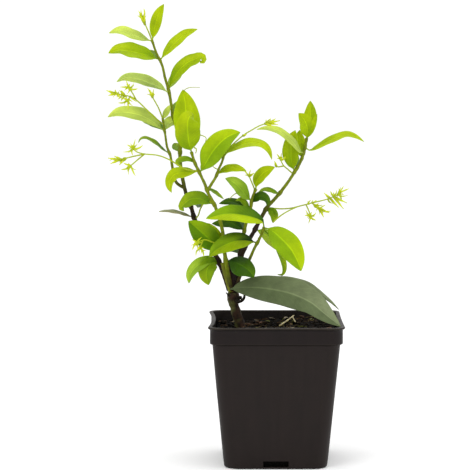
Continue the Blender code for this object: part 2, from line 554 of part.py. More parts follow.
def join_pieces(base, pieces, operation="UNION", solver="MANIFOLD"):
    """Join or cut every piece into base by one Boolean, and remove the pieces."""
    group = bpy.data.collections.new(base.name + "_pieces")
    bpy.context.scene.collection.children.link(group)
    for piece in pieces:
        bpy.context.scene.collection.objects.unlink(piece)
        group.objects.link(piece)
    modifier = base.modifiers.new("join", "BOOLEAN")
    modifier.operation = operation
    modifier.operand_type = "COLLECTION"
    modifier.collection = group
    modifier.solver = solver
    whole = bpy.data.meshes.new_from_object(base.evaluated_get(bpy.context.evaluated_depsgraph_get()))
    base.modifiers.clear()
    base.data = whole
    for piece in pieces:
        bpy.data.objects.remove(piece, do_unlink=True)
    bpy.data.collections.remove(group)


def square_ring(half, corner, height, bow=0.0):
    """A rounded square at one height, its four sides bowed in where the rim gives."""
    ring = []
    left_bow = RIM_BOW_LEFT * bow
    side_bow = RIM_BOW * bow
    for quarter in range(4):
        centre_angle = math.pi / 4 + quarter * math.pi / 2
        centre = Vector((math.copysign(half - corner, math.cos(centre_angle)),
                         math.copysign(half - corner, math.sin(centre_angle)), height))
        for step in range(CORNER_STEPS + 1):
            angle = quarter * math.pi / 2 + step * math.pi / 2 / CORNER_STEPS
            ring.append(centre + Vector((math.cos(angle), math.sin(angle), 0)) * corner)
        heading = Vector((-math.sin((quarter + 1) * math.pi / 2), math.cos((quarter + 1) * math.pi / 2), 0))
        start = ring[-1].copy()
        run = 2 * (half - corner)
        for share in SIDE_SHARES:
            ring.append(start + Vector((heading.x, heading.y, 0)) * run * share)
    for point in ring:
        for axis, other in ((0, 1), (1, 0)):
            room = max(1 - (point[other] / (half - corner * 0.5)) ** 2, 0.0)
            if abs(point[axis]) > half * 0.9:
                depth = left_bow if axis == 0 and point.x < 0 else side_bow
                point[axis] -= math.copysign(depth * room, point[axis])
    return ring


def wall_half(height):
    """Half the body's outer width at a height."""
    return BASE_HALF + (BODY_TOP_HALF - BASE_HALF) * height / (POT_HEIGHT - BAND_HEIGHT)


def corner_at(height):
    return BASE_CORNER + (RIM_CORNER - BASE_CORNER) * height / POT_HEIGHT


def bow_at(height):
    return max(0.0, (height - (POT_HEIGHT - BOW_HEIGHT)) / BOW_HEIGHT) ** BOW_POWER


def pot_rings():
    """The pot's outline as rounded squares: up the outside, over the lip and down to the inner floor."""
    band_foot = POT_HEIGHT - BAND_HEIGHT
    inner_half = BAND_HALF - LIP_THICK
    outside = [(BASE_HALF - BASE_EDGE, 0.0), (BASE_HALF, BASE_EDGE)]
    outside += [(wall_half(band_foot * share), band_foot * share) for share in (0.33, 0.66, 0.97)]
    outside += [(BAND_HALF - BAND_TUCK, band_foot), (BAND_HALF, POT_HEIGHT - LIP_DROP),
                (RIM_HALF, POT_HEIGHT - LIP_FACE), (RIM_HALF, POT_HEIGHT - LIP_ROUND),
                (RIM_HALF - LIP_ROUND, POT_HEIGHT)]
    inside = [(inner_half + BAND_TUCK, POT_HEIGHT), (inner_half, POT_HEIGHT - LIP_FACE),
              (inner_half, band_foot + INNER_STEP), (wall_half(band_foot) - WALL, band_foot - INNER_STEP)]
    inside += [(wall_half(band_foot * share) - WALL, band_foot * share) for share in (0.6, 0.3)]
    inside += [(BASE_HALF - WALL, FLOOR)]
    return [square_ring(half, corner_at(height), height, bow_at(height)) for half, height in outside + inside]


def solid_from_rings(name, rows, finish):
    points = []
    rings = []
    for row in rows:
        rings.append(list(range(len(points), len(points) + len(row))))
        points += row
    return new_object(name, points, skin(rings), finish)


def box(name, low, high, finish):
    corners = [Vector((x, y, z)) for z in (low[2], high[2]) for x, y in
               ((low[0], low[1]), (high[0], low[1]), (high[0], high[1]), (low[0], high[1]))]
    return new_object(name, corners, skin([[0, 1, 2, 3], [4, 5, 6, 7]]), finish)


def make_pot(finish):
    pot = solid_from_rings("pot", pot_rings(), finish)
    half = SLOT_WIDTH / 2
    reach = BASE_HALF + SLOT_OUTWARD
    slots = []
    for axis in (0, 1):
        low = [-half, -half, SLOT_BOTTOM]
        high = [half, half, SLOT_TOP]
        for sign in (-1, 1):
            low[axis] = min(sign * reach, sign * (BASE_HALF - SLOT_INWARD))
            high[axis] = max(sign * reach, sign * (BASE_HALF - SLOT_INWARD))
            slots.append(box("slot", low, high, finish))
    join_pieces(pot, slots, "DIFFERENCE", "EXACT")
    return pot


def soil_height(x, y):
    """The soil's surface: higher on the right, low round the left wall, with small lumps."""
    slope = SOIL_SLOPE * x / RIM_HALF
    broad = math.sin(x * BROAD_LUMPS[0] + 1.1) * math.sin(y * BROAD_LUMPS[1] + 0.4)
    lumps = broad + 0.6 * math.sin(x * SMALL_LUMPS[0] - y * SMALL_LUMPS[1])
    return POT_HEIGHT - SOIL_DEPTH + slope + SOIL_RIPPLE * lumps


def make_soil(trunk_hole, finish):
    band_foot = POT_HEIGHT - BAND_HEIGHT
    rings = []
    for height in (FLOOR + SOIL_GAP, band_foot * 0.4, band_foot - SOIL_WAIST):
        half = wall_half(height) - WALL - SOIL_SIDE_GAP
        rings.append(square_ring(half, corner_at(height), height, bow_at(height)))
    top_half = wall_half(band_foot) - WALL - SOIL_TOP_GAP
    edge = POT_HEIGHT - SOIL_DEPTH - SOIL_EDGE_DROP
    rings.append(square_ring(top_half, corner_at(edge), edge, bow_at(edge)))
    soil = solid_from_rings("soil", rings, finish)
    cover = make_soil_cover(top_half - SOIL_COVER_INSET, edge, finish)
    join_pieces(soil, [cover])
    join_pieces(soil, [trunk_hole], "DIFFERENCE")
    return soil


def make_soil_cover(half, edge, finish):
    """The lumpy top layer, sunk into the soil below it."""
    points = []
    index = {}
    for level in (0, 1):
        for row in range(SOIL_GRID + 1):
            for column in range(SOIL_GRID + 1):
                x = half * (2 * column / SOIL_GRID - 1)
                y = half * (2 * row / SOIL_GRID - 1)
                x, y = round_in(x, y, half)
                x += RIM_BOW_LEFT * bow_at(edge) * max(0.0, -x / half) * max(0.0, 1 - (y / half) ** 2)
                z = soil_height(x, y) if level else edge - SOIL_COVER_SINK
                index[level, row, column] = len(points)
                points.append(Vector((x, y, z)))
    faces = []
    for row in range(SOIL_GRID):
        for column in range(SOIL_GRID):
            for level in (0, 1):
                quad = [index[level, row, column], index[level, row, column + 1],
                        index[level, row + 1, column + 1], index[level, row + 1, column]]
                faces.append(tuple(quad if level else quad[::-1]))
    border = [(0, c) for c in range(SOIL_GRID)] + [(r, SOIL_GRID) for r in range(SOIL_GRID)]
    border += [(SOIL_GRID, c) for c in range(SOIL_GRID, 0, -1)] + [(r, 0) for r in range(SOIL_GRID, 0, -1)]
    for start, end in zip(border, border[1:] + border[:1]):
        faces.append((index[(0, *start)], index[(0, *end)], index[(1, *end)], index[(1, *start)]))
    return new_object("soil_cover", points, faces, finish)


def round_in(x, y, half):
    """Pull a square grid's corners in to the pot's rounded corners."""
    pull = 1 - CORNER_PULL * (abs(x) / half * abs(y) / half) ** 3
    return x * pull, y * pull


def make_trunk(finish):
    trunk = stem_tube("trunk", TRUNK, TRUNK_SIDES, finish)
    spurs = [stem_tube("spur", spur, STEM_SIDES, finish) for spur in TRUNK_SPURS]
    join_pieces(trunk, spurs)
    return trunk


def stub_and_stalk(spray):
    """Split the main stalk into the stub that its shoot keeps and the rest, with a small gap between them."""
    stalk = spray["stalks"][0]
    spots = [root_on(spray["parent"], stalk[0])] + [at(*place) for place in stalk[1:]]
    ahead = (spots[1] - spots[0]).normalized()
    return [spots[0], spots[0] + ahead * STUB], [spots[0] + ahead * (STUB + SEAT_GAP)] + spots[1:]


def root_on(name, place):
    """The nearest point to a place on the middle lines of a shoot's stems, where a leaf or stalk is rooted."""
    spot = at(*place)
    best = spot
    reach = ROOT_REACH
    for stem in STEMS[name]:
        axis = stem_axis(stem)
        for start, end in zip(axis, axis[1:]):
            run = end - start
            share = min(max((spot - start).dot(run) / run.length_squared, 0.0), 1.0)
            near = start + run * share
            if (near - spot).length < reach:
                best = near
                reach = (near - spot).length
    return best


def make_shoot(name, stem_finish):
    first, *others = STEMS[name]
    shoot = stem_tube(name, first, STEM_SIDES, stem_finish)
    pieces = [stem_tube("branch", stem, STEM_SIDES, stem_finish) for stem in others]
    pieces += [leaf_body("leaf", leaf, root_on(name, leaf.rib[0]), stem_finish) for leaf in LEAVES[name]]
    for spray in SPRAYS.values():
        if spray["parent"] == name:
            stub, _ = stub_and_stalk(spray)
            pieces.append(tube("stub", stub, [STALK_RADIUS * 1.2, STALK_RADIUS], STALK_SIDES, stem_finish))
    join_pieces(shoot, pieces)
    return shoot


def make_spray(name, finish):
    spray = SPRAYS[name]
    _, main = stub_and_stalk(spray)
    stalk_paths = [main] + [[at(*place) for place in stalk] for stalk in spray["stalks"][1:]]
    bodies = []
    for path in stalk_paths:
        run = smooth_path(path, len(path) - 1)
        run[0] = path[0]
        bodies.append(tube(name, run, [STALK_RADIUS] * len(run), STALK_SIDES, finish))
    for start, end in spray["petals"]:
        bodies.append(spindle("petal", at(*start), at(*end), PETAL_HALF, PETAL_THICK / 2, 4, finish))
    for start, end in spray["buds"]:
        bodies.append(spindle("bud", at(*start), at(*end), BUD_RADIUS, BUD_RADIUS, 5, finish))
    bodies[0].name = name
    join_pieces(bodies[0], bodies[1:])
    return bodies[0]


def make_straw(finish):
    main, crossing = [stem_tube("straw", straw, 5, finish) for straw in STRAW]
    join_pieces(main, [crossing])
    main.name = "straw"
    return main


def build():
    clear_scene()
    pot_finish = material("pot_plastic", (0.030, 0.024, 0.022), 0.45)
    soil_finish = material("soil", (0.020, 0.014, 0.010), 0.95)
    bark_finish = material("bark", (0.060, 0.036, 0.020), 0.8)
    shoot_finish = material("leaf_green", (0.20, 0.38, 0.02), 0.45)
    old_finish = material("old_leaf_green", (0.12, 0.17, 0.07), 0.5)
    flower_finish = material("flower_green", (0.42, 0.52, 0.05), 0.5)
    straw_finish = material("straw", (0.45, 0.38, 0.18), 0.7)
    make_pot(pot_finish)
    make_soil(stem_tube("trunk_hole", TRUNK, TRUNK_SIDES, soil_finish, extra=SOIL_GAP), soil_finish)
    make_trunk(bark_finish)
    for name in STEMS:
        make_shoot(name, shoot_finish)
    for name, leaf in OLD_LEAVES.items():
        leaf_body(name, leaf, at(*leaf.rib[0]), old_finish, steps=9)
    for name in SPRAYS:
        make_spray(name, flower_finish)
    make_straw(straw_finish)


build()
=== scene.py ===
"""The looks of a young star jasmine in its square nursery pot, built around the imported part.

Places on the plant are given as they are seen from the camera: across and down in a square view of
470 steps, with the distance behind the pot's middle plane (+ away from the camera) in millimetres.
"""

import itertools
import json
import math
import random
from collections import namedtuple

import bmesh
import bpy
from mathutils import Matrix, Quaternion, Vector, noise

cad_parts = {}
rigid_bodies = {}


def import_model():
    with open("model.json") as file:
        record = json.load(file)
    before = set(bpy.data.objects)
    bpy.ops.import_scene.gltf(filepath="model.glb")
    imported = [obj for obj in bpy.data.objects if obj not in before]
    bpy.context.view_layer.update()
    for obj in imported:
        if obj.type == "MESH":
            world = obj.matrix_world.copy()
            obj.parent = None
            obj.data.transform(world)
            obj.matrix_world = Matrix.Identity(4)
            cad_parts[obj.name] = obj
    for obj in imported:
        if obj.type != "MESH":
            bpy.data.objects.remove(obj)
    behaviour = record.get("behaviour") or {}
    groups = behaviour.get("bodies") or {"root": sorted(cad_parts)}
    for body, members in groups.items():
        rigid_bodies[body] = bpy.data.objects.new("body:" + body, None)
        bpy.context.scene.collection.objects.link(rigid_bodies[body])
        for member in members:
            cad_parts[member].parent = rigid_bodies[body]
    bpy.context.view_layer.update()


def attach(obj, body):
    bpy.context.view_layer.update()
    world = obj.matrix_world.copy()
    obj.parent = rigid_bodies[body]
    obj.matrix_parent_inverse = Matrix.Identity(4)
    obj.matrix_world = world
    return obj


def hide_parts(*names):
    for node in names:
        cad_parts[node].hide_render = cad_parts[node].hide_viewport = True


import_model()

MM = 0.001
BODY = "root"

# Camera, which is also the viewpoint that the plant's places are sighted from
EYE = Vector((-27.3, -1348.0, 285.0)) * MM
EYE_PITCH = math.radians(5.56)
EYE_AHEAD = Vector((0.0, math.cos(EYE_PITCH), -math.sin(EYE_PITCH)))
EYE_UP = Vector((0.0, math.sin(EYE_PITCH), math.cos(EYE_PITCH)))
VIEW_HALF = 235.0
VIEW_FOCAL = 2000.0
SENSOR = 36.0

# Pot
POT_HEIGHT = 96.5 * MM
RIM_HALF = 45.7 * MM
BAND_HALF = 44.3 * MM
BAND_FOOT = POT_HEIGHT - 11.6 * MM
BODY_TOP_HALF = 42.7 * MM
BASE_HALF = 34.7 * MM
LIP_THICK = 1.3 * MM
WALL = 1.3 * MM
FLOOR = 1.8 * MM
RIM_CORNER = 8.0 * MM
BASE_CORNER = 9.5 * MM
CORNER_STEPS = 10
SIDE_STEPS = 12
WALL_ROWS = 16
RIM_BOW_LEFT = 2.7 * MM
RIM_BOW = 0.5 * MM
BOW_HEIGHT = 45.0 * MM
SLOT_WIDTH = 17.0 * MM
SLOT_BOTTOM = 1.5 * MM
SLOT_TOP = 5.5 * MM
SLOT_EDGE = 0.1 * MM
SLOT_DEPTHS = (BASE_HALF - 4.0 * MM, BASE_HALF + 5.0 * MM)
SHARP_FROM = math.radians(40)

# Soil: its gaps to the pot, the shape of its top, and what is scattered over it
SOIL_FLOOR_GAP = 0.35 * MM
SOIL_SIDE_GAP = 0.5 * MM
SOIL_TOP_GAP = 0.7 * MM
SOIL_DEPTH = 5.2 * MM
SOIL_EDGE_DROP = 3.2 * MM
SOIL_SLOPE = 2.3 * MM
SOIL_RIPPLE = 0.6 * MM
SOIL_GRAIN = 0.75 * MM
SOIL_SINK = 1.2 * MM
SOIL_RINGS = 60
SOIL_OUTMOST = 0.985
SOIL_INMOST = 0.004
SCATTER_SEED = 11
SCATTER_HALF = 37.0 * MM
CRUMBS = 520
CRUMB_SIZES = (0.7, 0.9, 1.2, 1.7)
FLAKES = 46
FIBRES = 60
CHIP_EDGE_MOST = 2.2

# Stems
ROOT_REACH = 7.0 * MM
STEM_FULLNESS = 1.18
JOINT_NEAR = 0.6 * MM
JOINT_FAR = 2.4 * MM
JOINT_SWELL = 0.32
TWIG_TIP = 0.6
TRUNK_STEPS = 40
TRUNK_SIDES = 20
BASE_STEPS = 16
SPUR_STEPS = 12
STRAW_STEPS = 12
LUMP_SCALE = 900

# Leaves
BLADE_THICK = 0.42 * MM
PETIOLE_HALF = 0.5 * MM
PETIOLE_SHARE = 0.09
OLD_PETIOLE_SHARE = 0.02
WIDEST = 0.46
FULLNESS = 1.55
OPEN_HALF = 2.5 * MM
WAVE_HEIGHT = 0.045
WAVE_RADIANS = 19
EDGE_CURL = -0.05
GROOVE_DEPTH = 0.14 * MM
RIDGE_DEPTH = 0.3 * MM
LEAF_STEPS = 26
OLD_LEAF_STEPS = 40
SEEDS_PER_SHOOT = 20
OLD_LEAF_SEED = 200
LEAF_COLUMNS = (-1.0, -0.9, -0.7, -0.45, -0.2, -0.06, 0.0, 0.06, 0.2, 0.45, 0.7, 0.9, 1.0)

# Flowers: a petal's section by (across, through), its side petals by (turn in degrees, share of its length)
STALK_RADIUS = 0.45 * MM
PETAL_HALF = 0.95 * MM
PETAL_THICK = 0.3 * MM
PETAL_BEND = 0.06
PETAL_SWAY = 0.16
PETAL_STEPS = 8
PETAL_SECTION = ((1, 0), (0.45, 1), (-0.45, 1), (-1, 0), (-0.45, -1), (0.45, -1))
SIDE_PETALS = ((34, 0.62), (-38, 0.5))
BUD_RADIUS = 0.85 * MM
BUD_STEPS = 10
BUD_SIDES = 10

# Area lights: place, aim, size and power
LIGHTS = {
    "key": ((-0.6, -0.9, 1.2), (0, 0, 0.18), (0.6, 0.6), 4.0),
    "fill": ((1.0, -0.5, 0.5), (0, 0, 0.15), (0.5, 0.9), 1.5),
    "top": ((0.1, 0.2, 1.4), (0, 0, 0.15), (0.8, 0.8), 3.0),
}
SKY_STRENGTH = 1.08
FLOOR_REACH = 12.0
FLOOR_WHITE = 0.97

Leaf = namedtuple("Leaf", "rib width roll fold look petiole", defaults=(PETIOLE_SHARE,))
Stem = namedtuple("Stem", "path start end")
Spray = namedtuple("Spray", "parent stalks petals buds")


def at(across, down, behind):
    """The point seen at (across, down), on the upright plane that lies behind mm past the pot's middle."""
    ray = EYE_AHEAD * VIEW_FOCAL + Vector((across - VIEW_HALF, 0.0, 0.0)) + EYE_UP * (VIEW_HALF - down)
    return EYE + ray * ((behind * MM - EYE.y) / ray.y)


def view_down(place):
    """How far down in the camera's view a place is seen."""
    seen = place - EYE
    return VIEW_HALF - VIEW_FOCAL * seen.dot(EYE_UP) / seen.dot(EYE_AHEAD)


def tone(red, green, blue):
    """A colour given in 0-255 display steps, as linear light."""
    return tuple(((part / 255 + 0.055) / 1.055) ** 2.4 if part > 10 else part / 255 / 12.92
                 for part in (red, green, blue))


def mix(first, second, share):
    return tuple(a + (b - a) * share for a, b in zip(first, second))


def dim(colour, gain):
    return tuple(part * gain for part in colour)


def ease(low, high, value):
    """0 below low, 1 above high and a soft step between them."""
    share = min(max((value - low) / (high - low), 0.0), 1.0)
    return share * share * (3 - 2 * share)


def evenly(start, end, steps):
    """Evenly spaced numbers from start to end."""
    return [start + (end - start) * step / steps for step in range(steps + 1)]


# Leaf colours in 0-255 steps: at the root, at the tip, and on the lower half as the camera sees it, the
# last being painted light and shade from how that folded half is lit
LEAF_TONES = {
    "lime": ((140, 165, 3), (166, 185, 8), (158, 179, 2)),
    "bright": ((140, 168, 0), (158, 178, 2), (150, 175, 0)),
    "fresh": ((120, 152, 2), (158, 177, 5), (140, 166, 2)),
    "mid": ((84, 122, 8), (136, 160, 14), (108, 140, 8)),
    "deep": ((34, 66, 2), (72, 106, 6), (46, 80, 2)),
    "pale": ((150, 172, 74), (192, 208, 84), (172, 192, 78)),
    "dull": ((112, 116, 78), (146, 150, 108), (128, 120, 78)),
    "arch": ((44, 84, 6), (122, 158, 8), (164, 186, 6)),
    "drape": ((28, 54, 2), (112, 144, 4), (132, 156, 3)),
    "leafy": ((66, 104, 0), (122, 152, 2), (78, 120, 0)),
    "soft": ((110, 146, 22), (152, 182, 50), (126, 160, 40)),
    "patched": ((132, 164, 2), (158, 182, 6), (116, 152, 4)),
    "old": ((84, 96, 62), (112, 122, 88), (78, 90, 58)),
}
LOOKS = {name: [tone(*colour) for colour in row] for name, row in LEAF_TONES.items()}

# Other colours
LEAF_UNDER = tone(176, 200, 120)
BARK = tone(24, 17, 6)
RED_BARK = tone(50, 30, 16)
MOSS = tone(96, 100, 50)
STEM_GREEN = tone(110, 122, 6)
STALK_GREEN = tone(150, 164, 20)
PETAL_YELLOW = tone(196, 206, 22)
PETAL_GREEN = tone(160, 178, 16)
POT_PLAIN = tone(28, 21, 19)
POT_BAND = tone(22, 15, 14)
# Painted highlight, for the lip's top and rounded edges and the ledge at the band's foot
POT_HIGHLIGHT = tone(38, 32, 26)
# Near-black painted shade for the pot's recesses: its foot, the undersides of band and lip, and its inside
POT_SHADE = tone(4, 1, 1)
SOIL_BROWN = tone(18, 12, 7)
SOIL_SHADOW = tone(7, 5, 3)
CRUMB_TONES = [tone(20, 14, 9), tone(15, 11, 7), tone(28, 20, 13), tone(44, 32, 22), tone(24, 19, 11)]
FLAKE_TONES = [tone(118, 92, 74), tone(150, 138, 118), tone(88, 66, 52), tone(104, 104, 52)]
FIBRE_TONES = [tone(84, 62, 38), tone(52, 35, 24), tone(112, 96, 60)]
STRAW_DRY = tone(196, 184, 132)
STRAW_SHADE = tone(150, 134, 92)

# Trunk: from its foot in the soil to the crown, with its radius in mm at both ends, as for all stems
TRUNK = Stem([(244, 346, 2), (240.5, 327, 2), (237, 315, 1.6), (234, 305, 0.8), (233, 299, 0),
              (233, 292, -0.5)], 2.9, 4.1)

# On the trunk: the cut stub, the petiole scar, and the dry hook on the crown
TRUNK_SPURS = [
    Stem([(234, 299, 0), (238, 298.3, -1), (241.8, 297.4, -1.5)], 1.9, 1.1),
    Stem([(231.5, 297, -2), (228.5, 295, -3.4), (225.9, 292.6, -3.8)], 0.8, 0.4),
    Stem([(235.5, 300.5, -3.4), (240, 301.6, -4.4), (243.4, 299.2, -5), (244.6, 295, -5),
          (243.6, 291.2, -4)], 1.2, 0.7),
]

# The trunk's girth along its length: share of the way up, and a factor on its radius
TRUNK_GIRTH = ((0.0, 1.15), (0.55, 0.98), (0.74, 0.8), (0.86, 1.02), (0.94, 1.08), (1.0, 0.88))

# Old stem bases packed above the crown, each with its colour
STEM_BASES = [
    (tone(104, 108, 22),
     Stem([(230.5, 292, -2.6), (227.6, 282, -3), (224.6, 271, -3.6), (222.5, 263, -4.2)], 1.5, 1.4)),
    (tone(78, 46, 24),
     Stem([(232, 292, -1.6), (230, 281, -2), (228, 271, -2.6), (226.5, 262, -3.2)], 1.6, 1.5)),
    (tone(34, 22, 16),
     Stem([(234, 292, -1), (233, 281, -1), (231.8, 271, -1.6), (231.5, 260, -2)], 1.9, 1.7)),
]

# Thin twigs, threads and scars that stand on a shoot: path and radius in mm
TWIGS = {
    "shoot_front": [
        ([(183.4, 91, -4.2), (186.5, 88.6, -4), (191, 87.4, -3.6), (199.9, 87.4, -3)], 0.28),
        ([(197, 134, -24), (201, 135.2, -23.5), (205, 136.8, -22.5), (206.2, 139, -22),
          (205.4, 142, -21.5)], 0.4),
        ([(194, 147.5, -18), (196.4, 149, -18), (195.7, 153.4, -17.4)], 0.5),
        ([(212.5, 202.5, -10.8), (206, 201, -5), (201, 207.5, -1), (198, 216, 3), (194.5, 219, 6)], 0.7),
        ([(218.4, 169.6, -16), (214.8, 168, -16.4), (211.6, 165.2, -17)], 0.4),
    ],
    "shoot_middle": [
        ([(238.5, 192.5, -6.5), (234, 194.5, -6), (229.5, 198.8, -5)], 0.4),
    ],
    "shoot_low": [
        ([(262.4, 231.5, -15), (260.8, 236, -13.6), (257.8, 238.4, -12.4)], 0.5),
    ],
}

# Stems of each shoot; the first one starts on the crown, the others grow from it
STEMS = {
    "shoot_tall": [
        Stem([(229.3, 290.5, 0.3), (226, 280, 0.8), (218, 260, 2), (206, 240, 4), (194, 218, 6),
              (190.6, 205, 7), (186.5, 195, 7.5), (183.5, 183, 8), (181, 169, 8.5), (180, 155, 9),
              (181, 148, 9), (176, 125, 10), (172.5, 115, 10.5), (171, 103, 11), (170, 95, 11),
              (167, 85, 11), (163, 70, 11), (162, 65, 11), (157, 55, 11), (155, 46, 11), (152, 40.5, 11)],
             1.5, 0.65),
        Stem([(184.5, 188, 8), (176, 182, 7), (172.5, 168, 6), (171, 157, 5), (168, 152, 4.5),
              (166.5, 143, 4), (164.7, 131, 3.5), (163.3, 124, 3.5), (162.6, 118, 3.5)], 0.95, 0.55),
    ],
    "shoot_front": [
        Stem([(231.7, 290.3, -2.7), (229, 280, -4), (226, 262, -6), (223.5, 245, -8), (223, 234, -9),
              (220, 220, -10), (214.3, 204.6, -11), (211, 200, -11.5), (207, 190, -12), (203, 179.6, -13),
              (199, 172, -13.5), (197, 168, -14), (193, 158, -15), (191.3, 152, -15.5)], 1.3, 0.75),
        Stem([(207.5, 190.5, -12), (211.5, 184, -13), (215, 179, -14), (218.5, 169.5, -16), (222, 162, -17),
              (224, 154, -18)], 0.9, 0.6),
    ],
    "shoot_right": [
        Stem([(236.6, 290.4, 0.4), (238, 280, 1), (240, 262, 2), (243, 252, 3), (247.5, 243, 4.5),
              (252.7, 233.5, 6), (255.4, 229, 6.5), (260.5, 219, 7.5), (265.6, 210, 8.5), (269, 204.5, 9),
              (275.7, 198.3, 9.5), (280.2, 192.5, 10), (284.6, 186.7, 10.5), (290.4, 178.7, 11),
              (292.7, 174.6, 11), (297.1, 168, 11), (301.2, 160.4, 11), (303.8, 152.3, 11),
              (305.6, 145.6, 11), (306.7, 138, 11)], 1.5, 0.7),
    ],
    "shoot_middle": [
        Stem([(232.7, 289.4, 2.8), (236, 278, 4.5), (238.5, 266, 6.3), (239.5, 254, 7), (241.5, 245, 5.5),
              (245, 228, 2), (249, 212, 0.5), (251.3, 206.9, 0), (251.8, 200.2, -1), (253.6, 193.5, -2),
              (255.8, 189, -2.5)], 1.15, 0.8),
    ],
    "shoot_low": [
        Stem([(235.7, 291, -2.2), (240, 276, -4.5), (249.6, 259, -8), (255, 247, -11), (258, 242.4, -12),
              (261, 235, -14), (264, 227.5, -16)], 1.1, 0.7),
    ],
}

# How high on the view each shoot turns from brown bark to green, as down steps (all bark, all green)
GREENING = {
    "shoot_tall": (206.0, 150.0),
    "shoot_front": (292.0, 262.0),
    "shoot_right": (226.0, 186.0),
    "shoot_middle": (252.0, 226.0),
    "shoot_low": (276.0, 246.0),
}

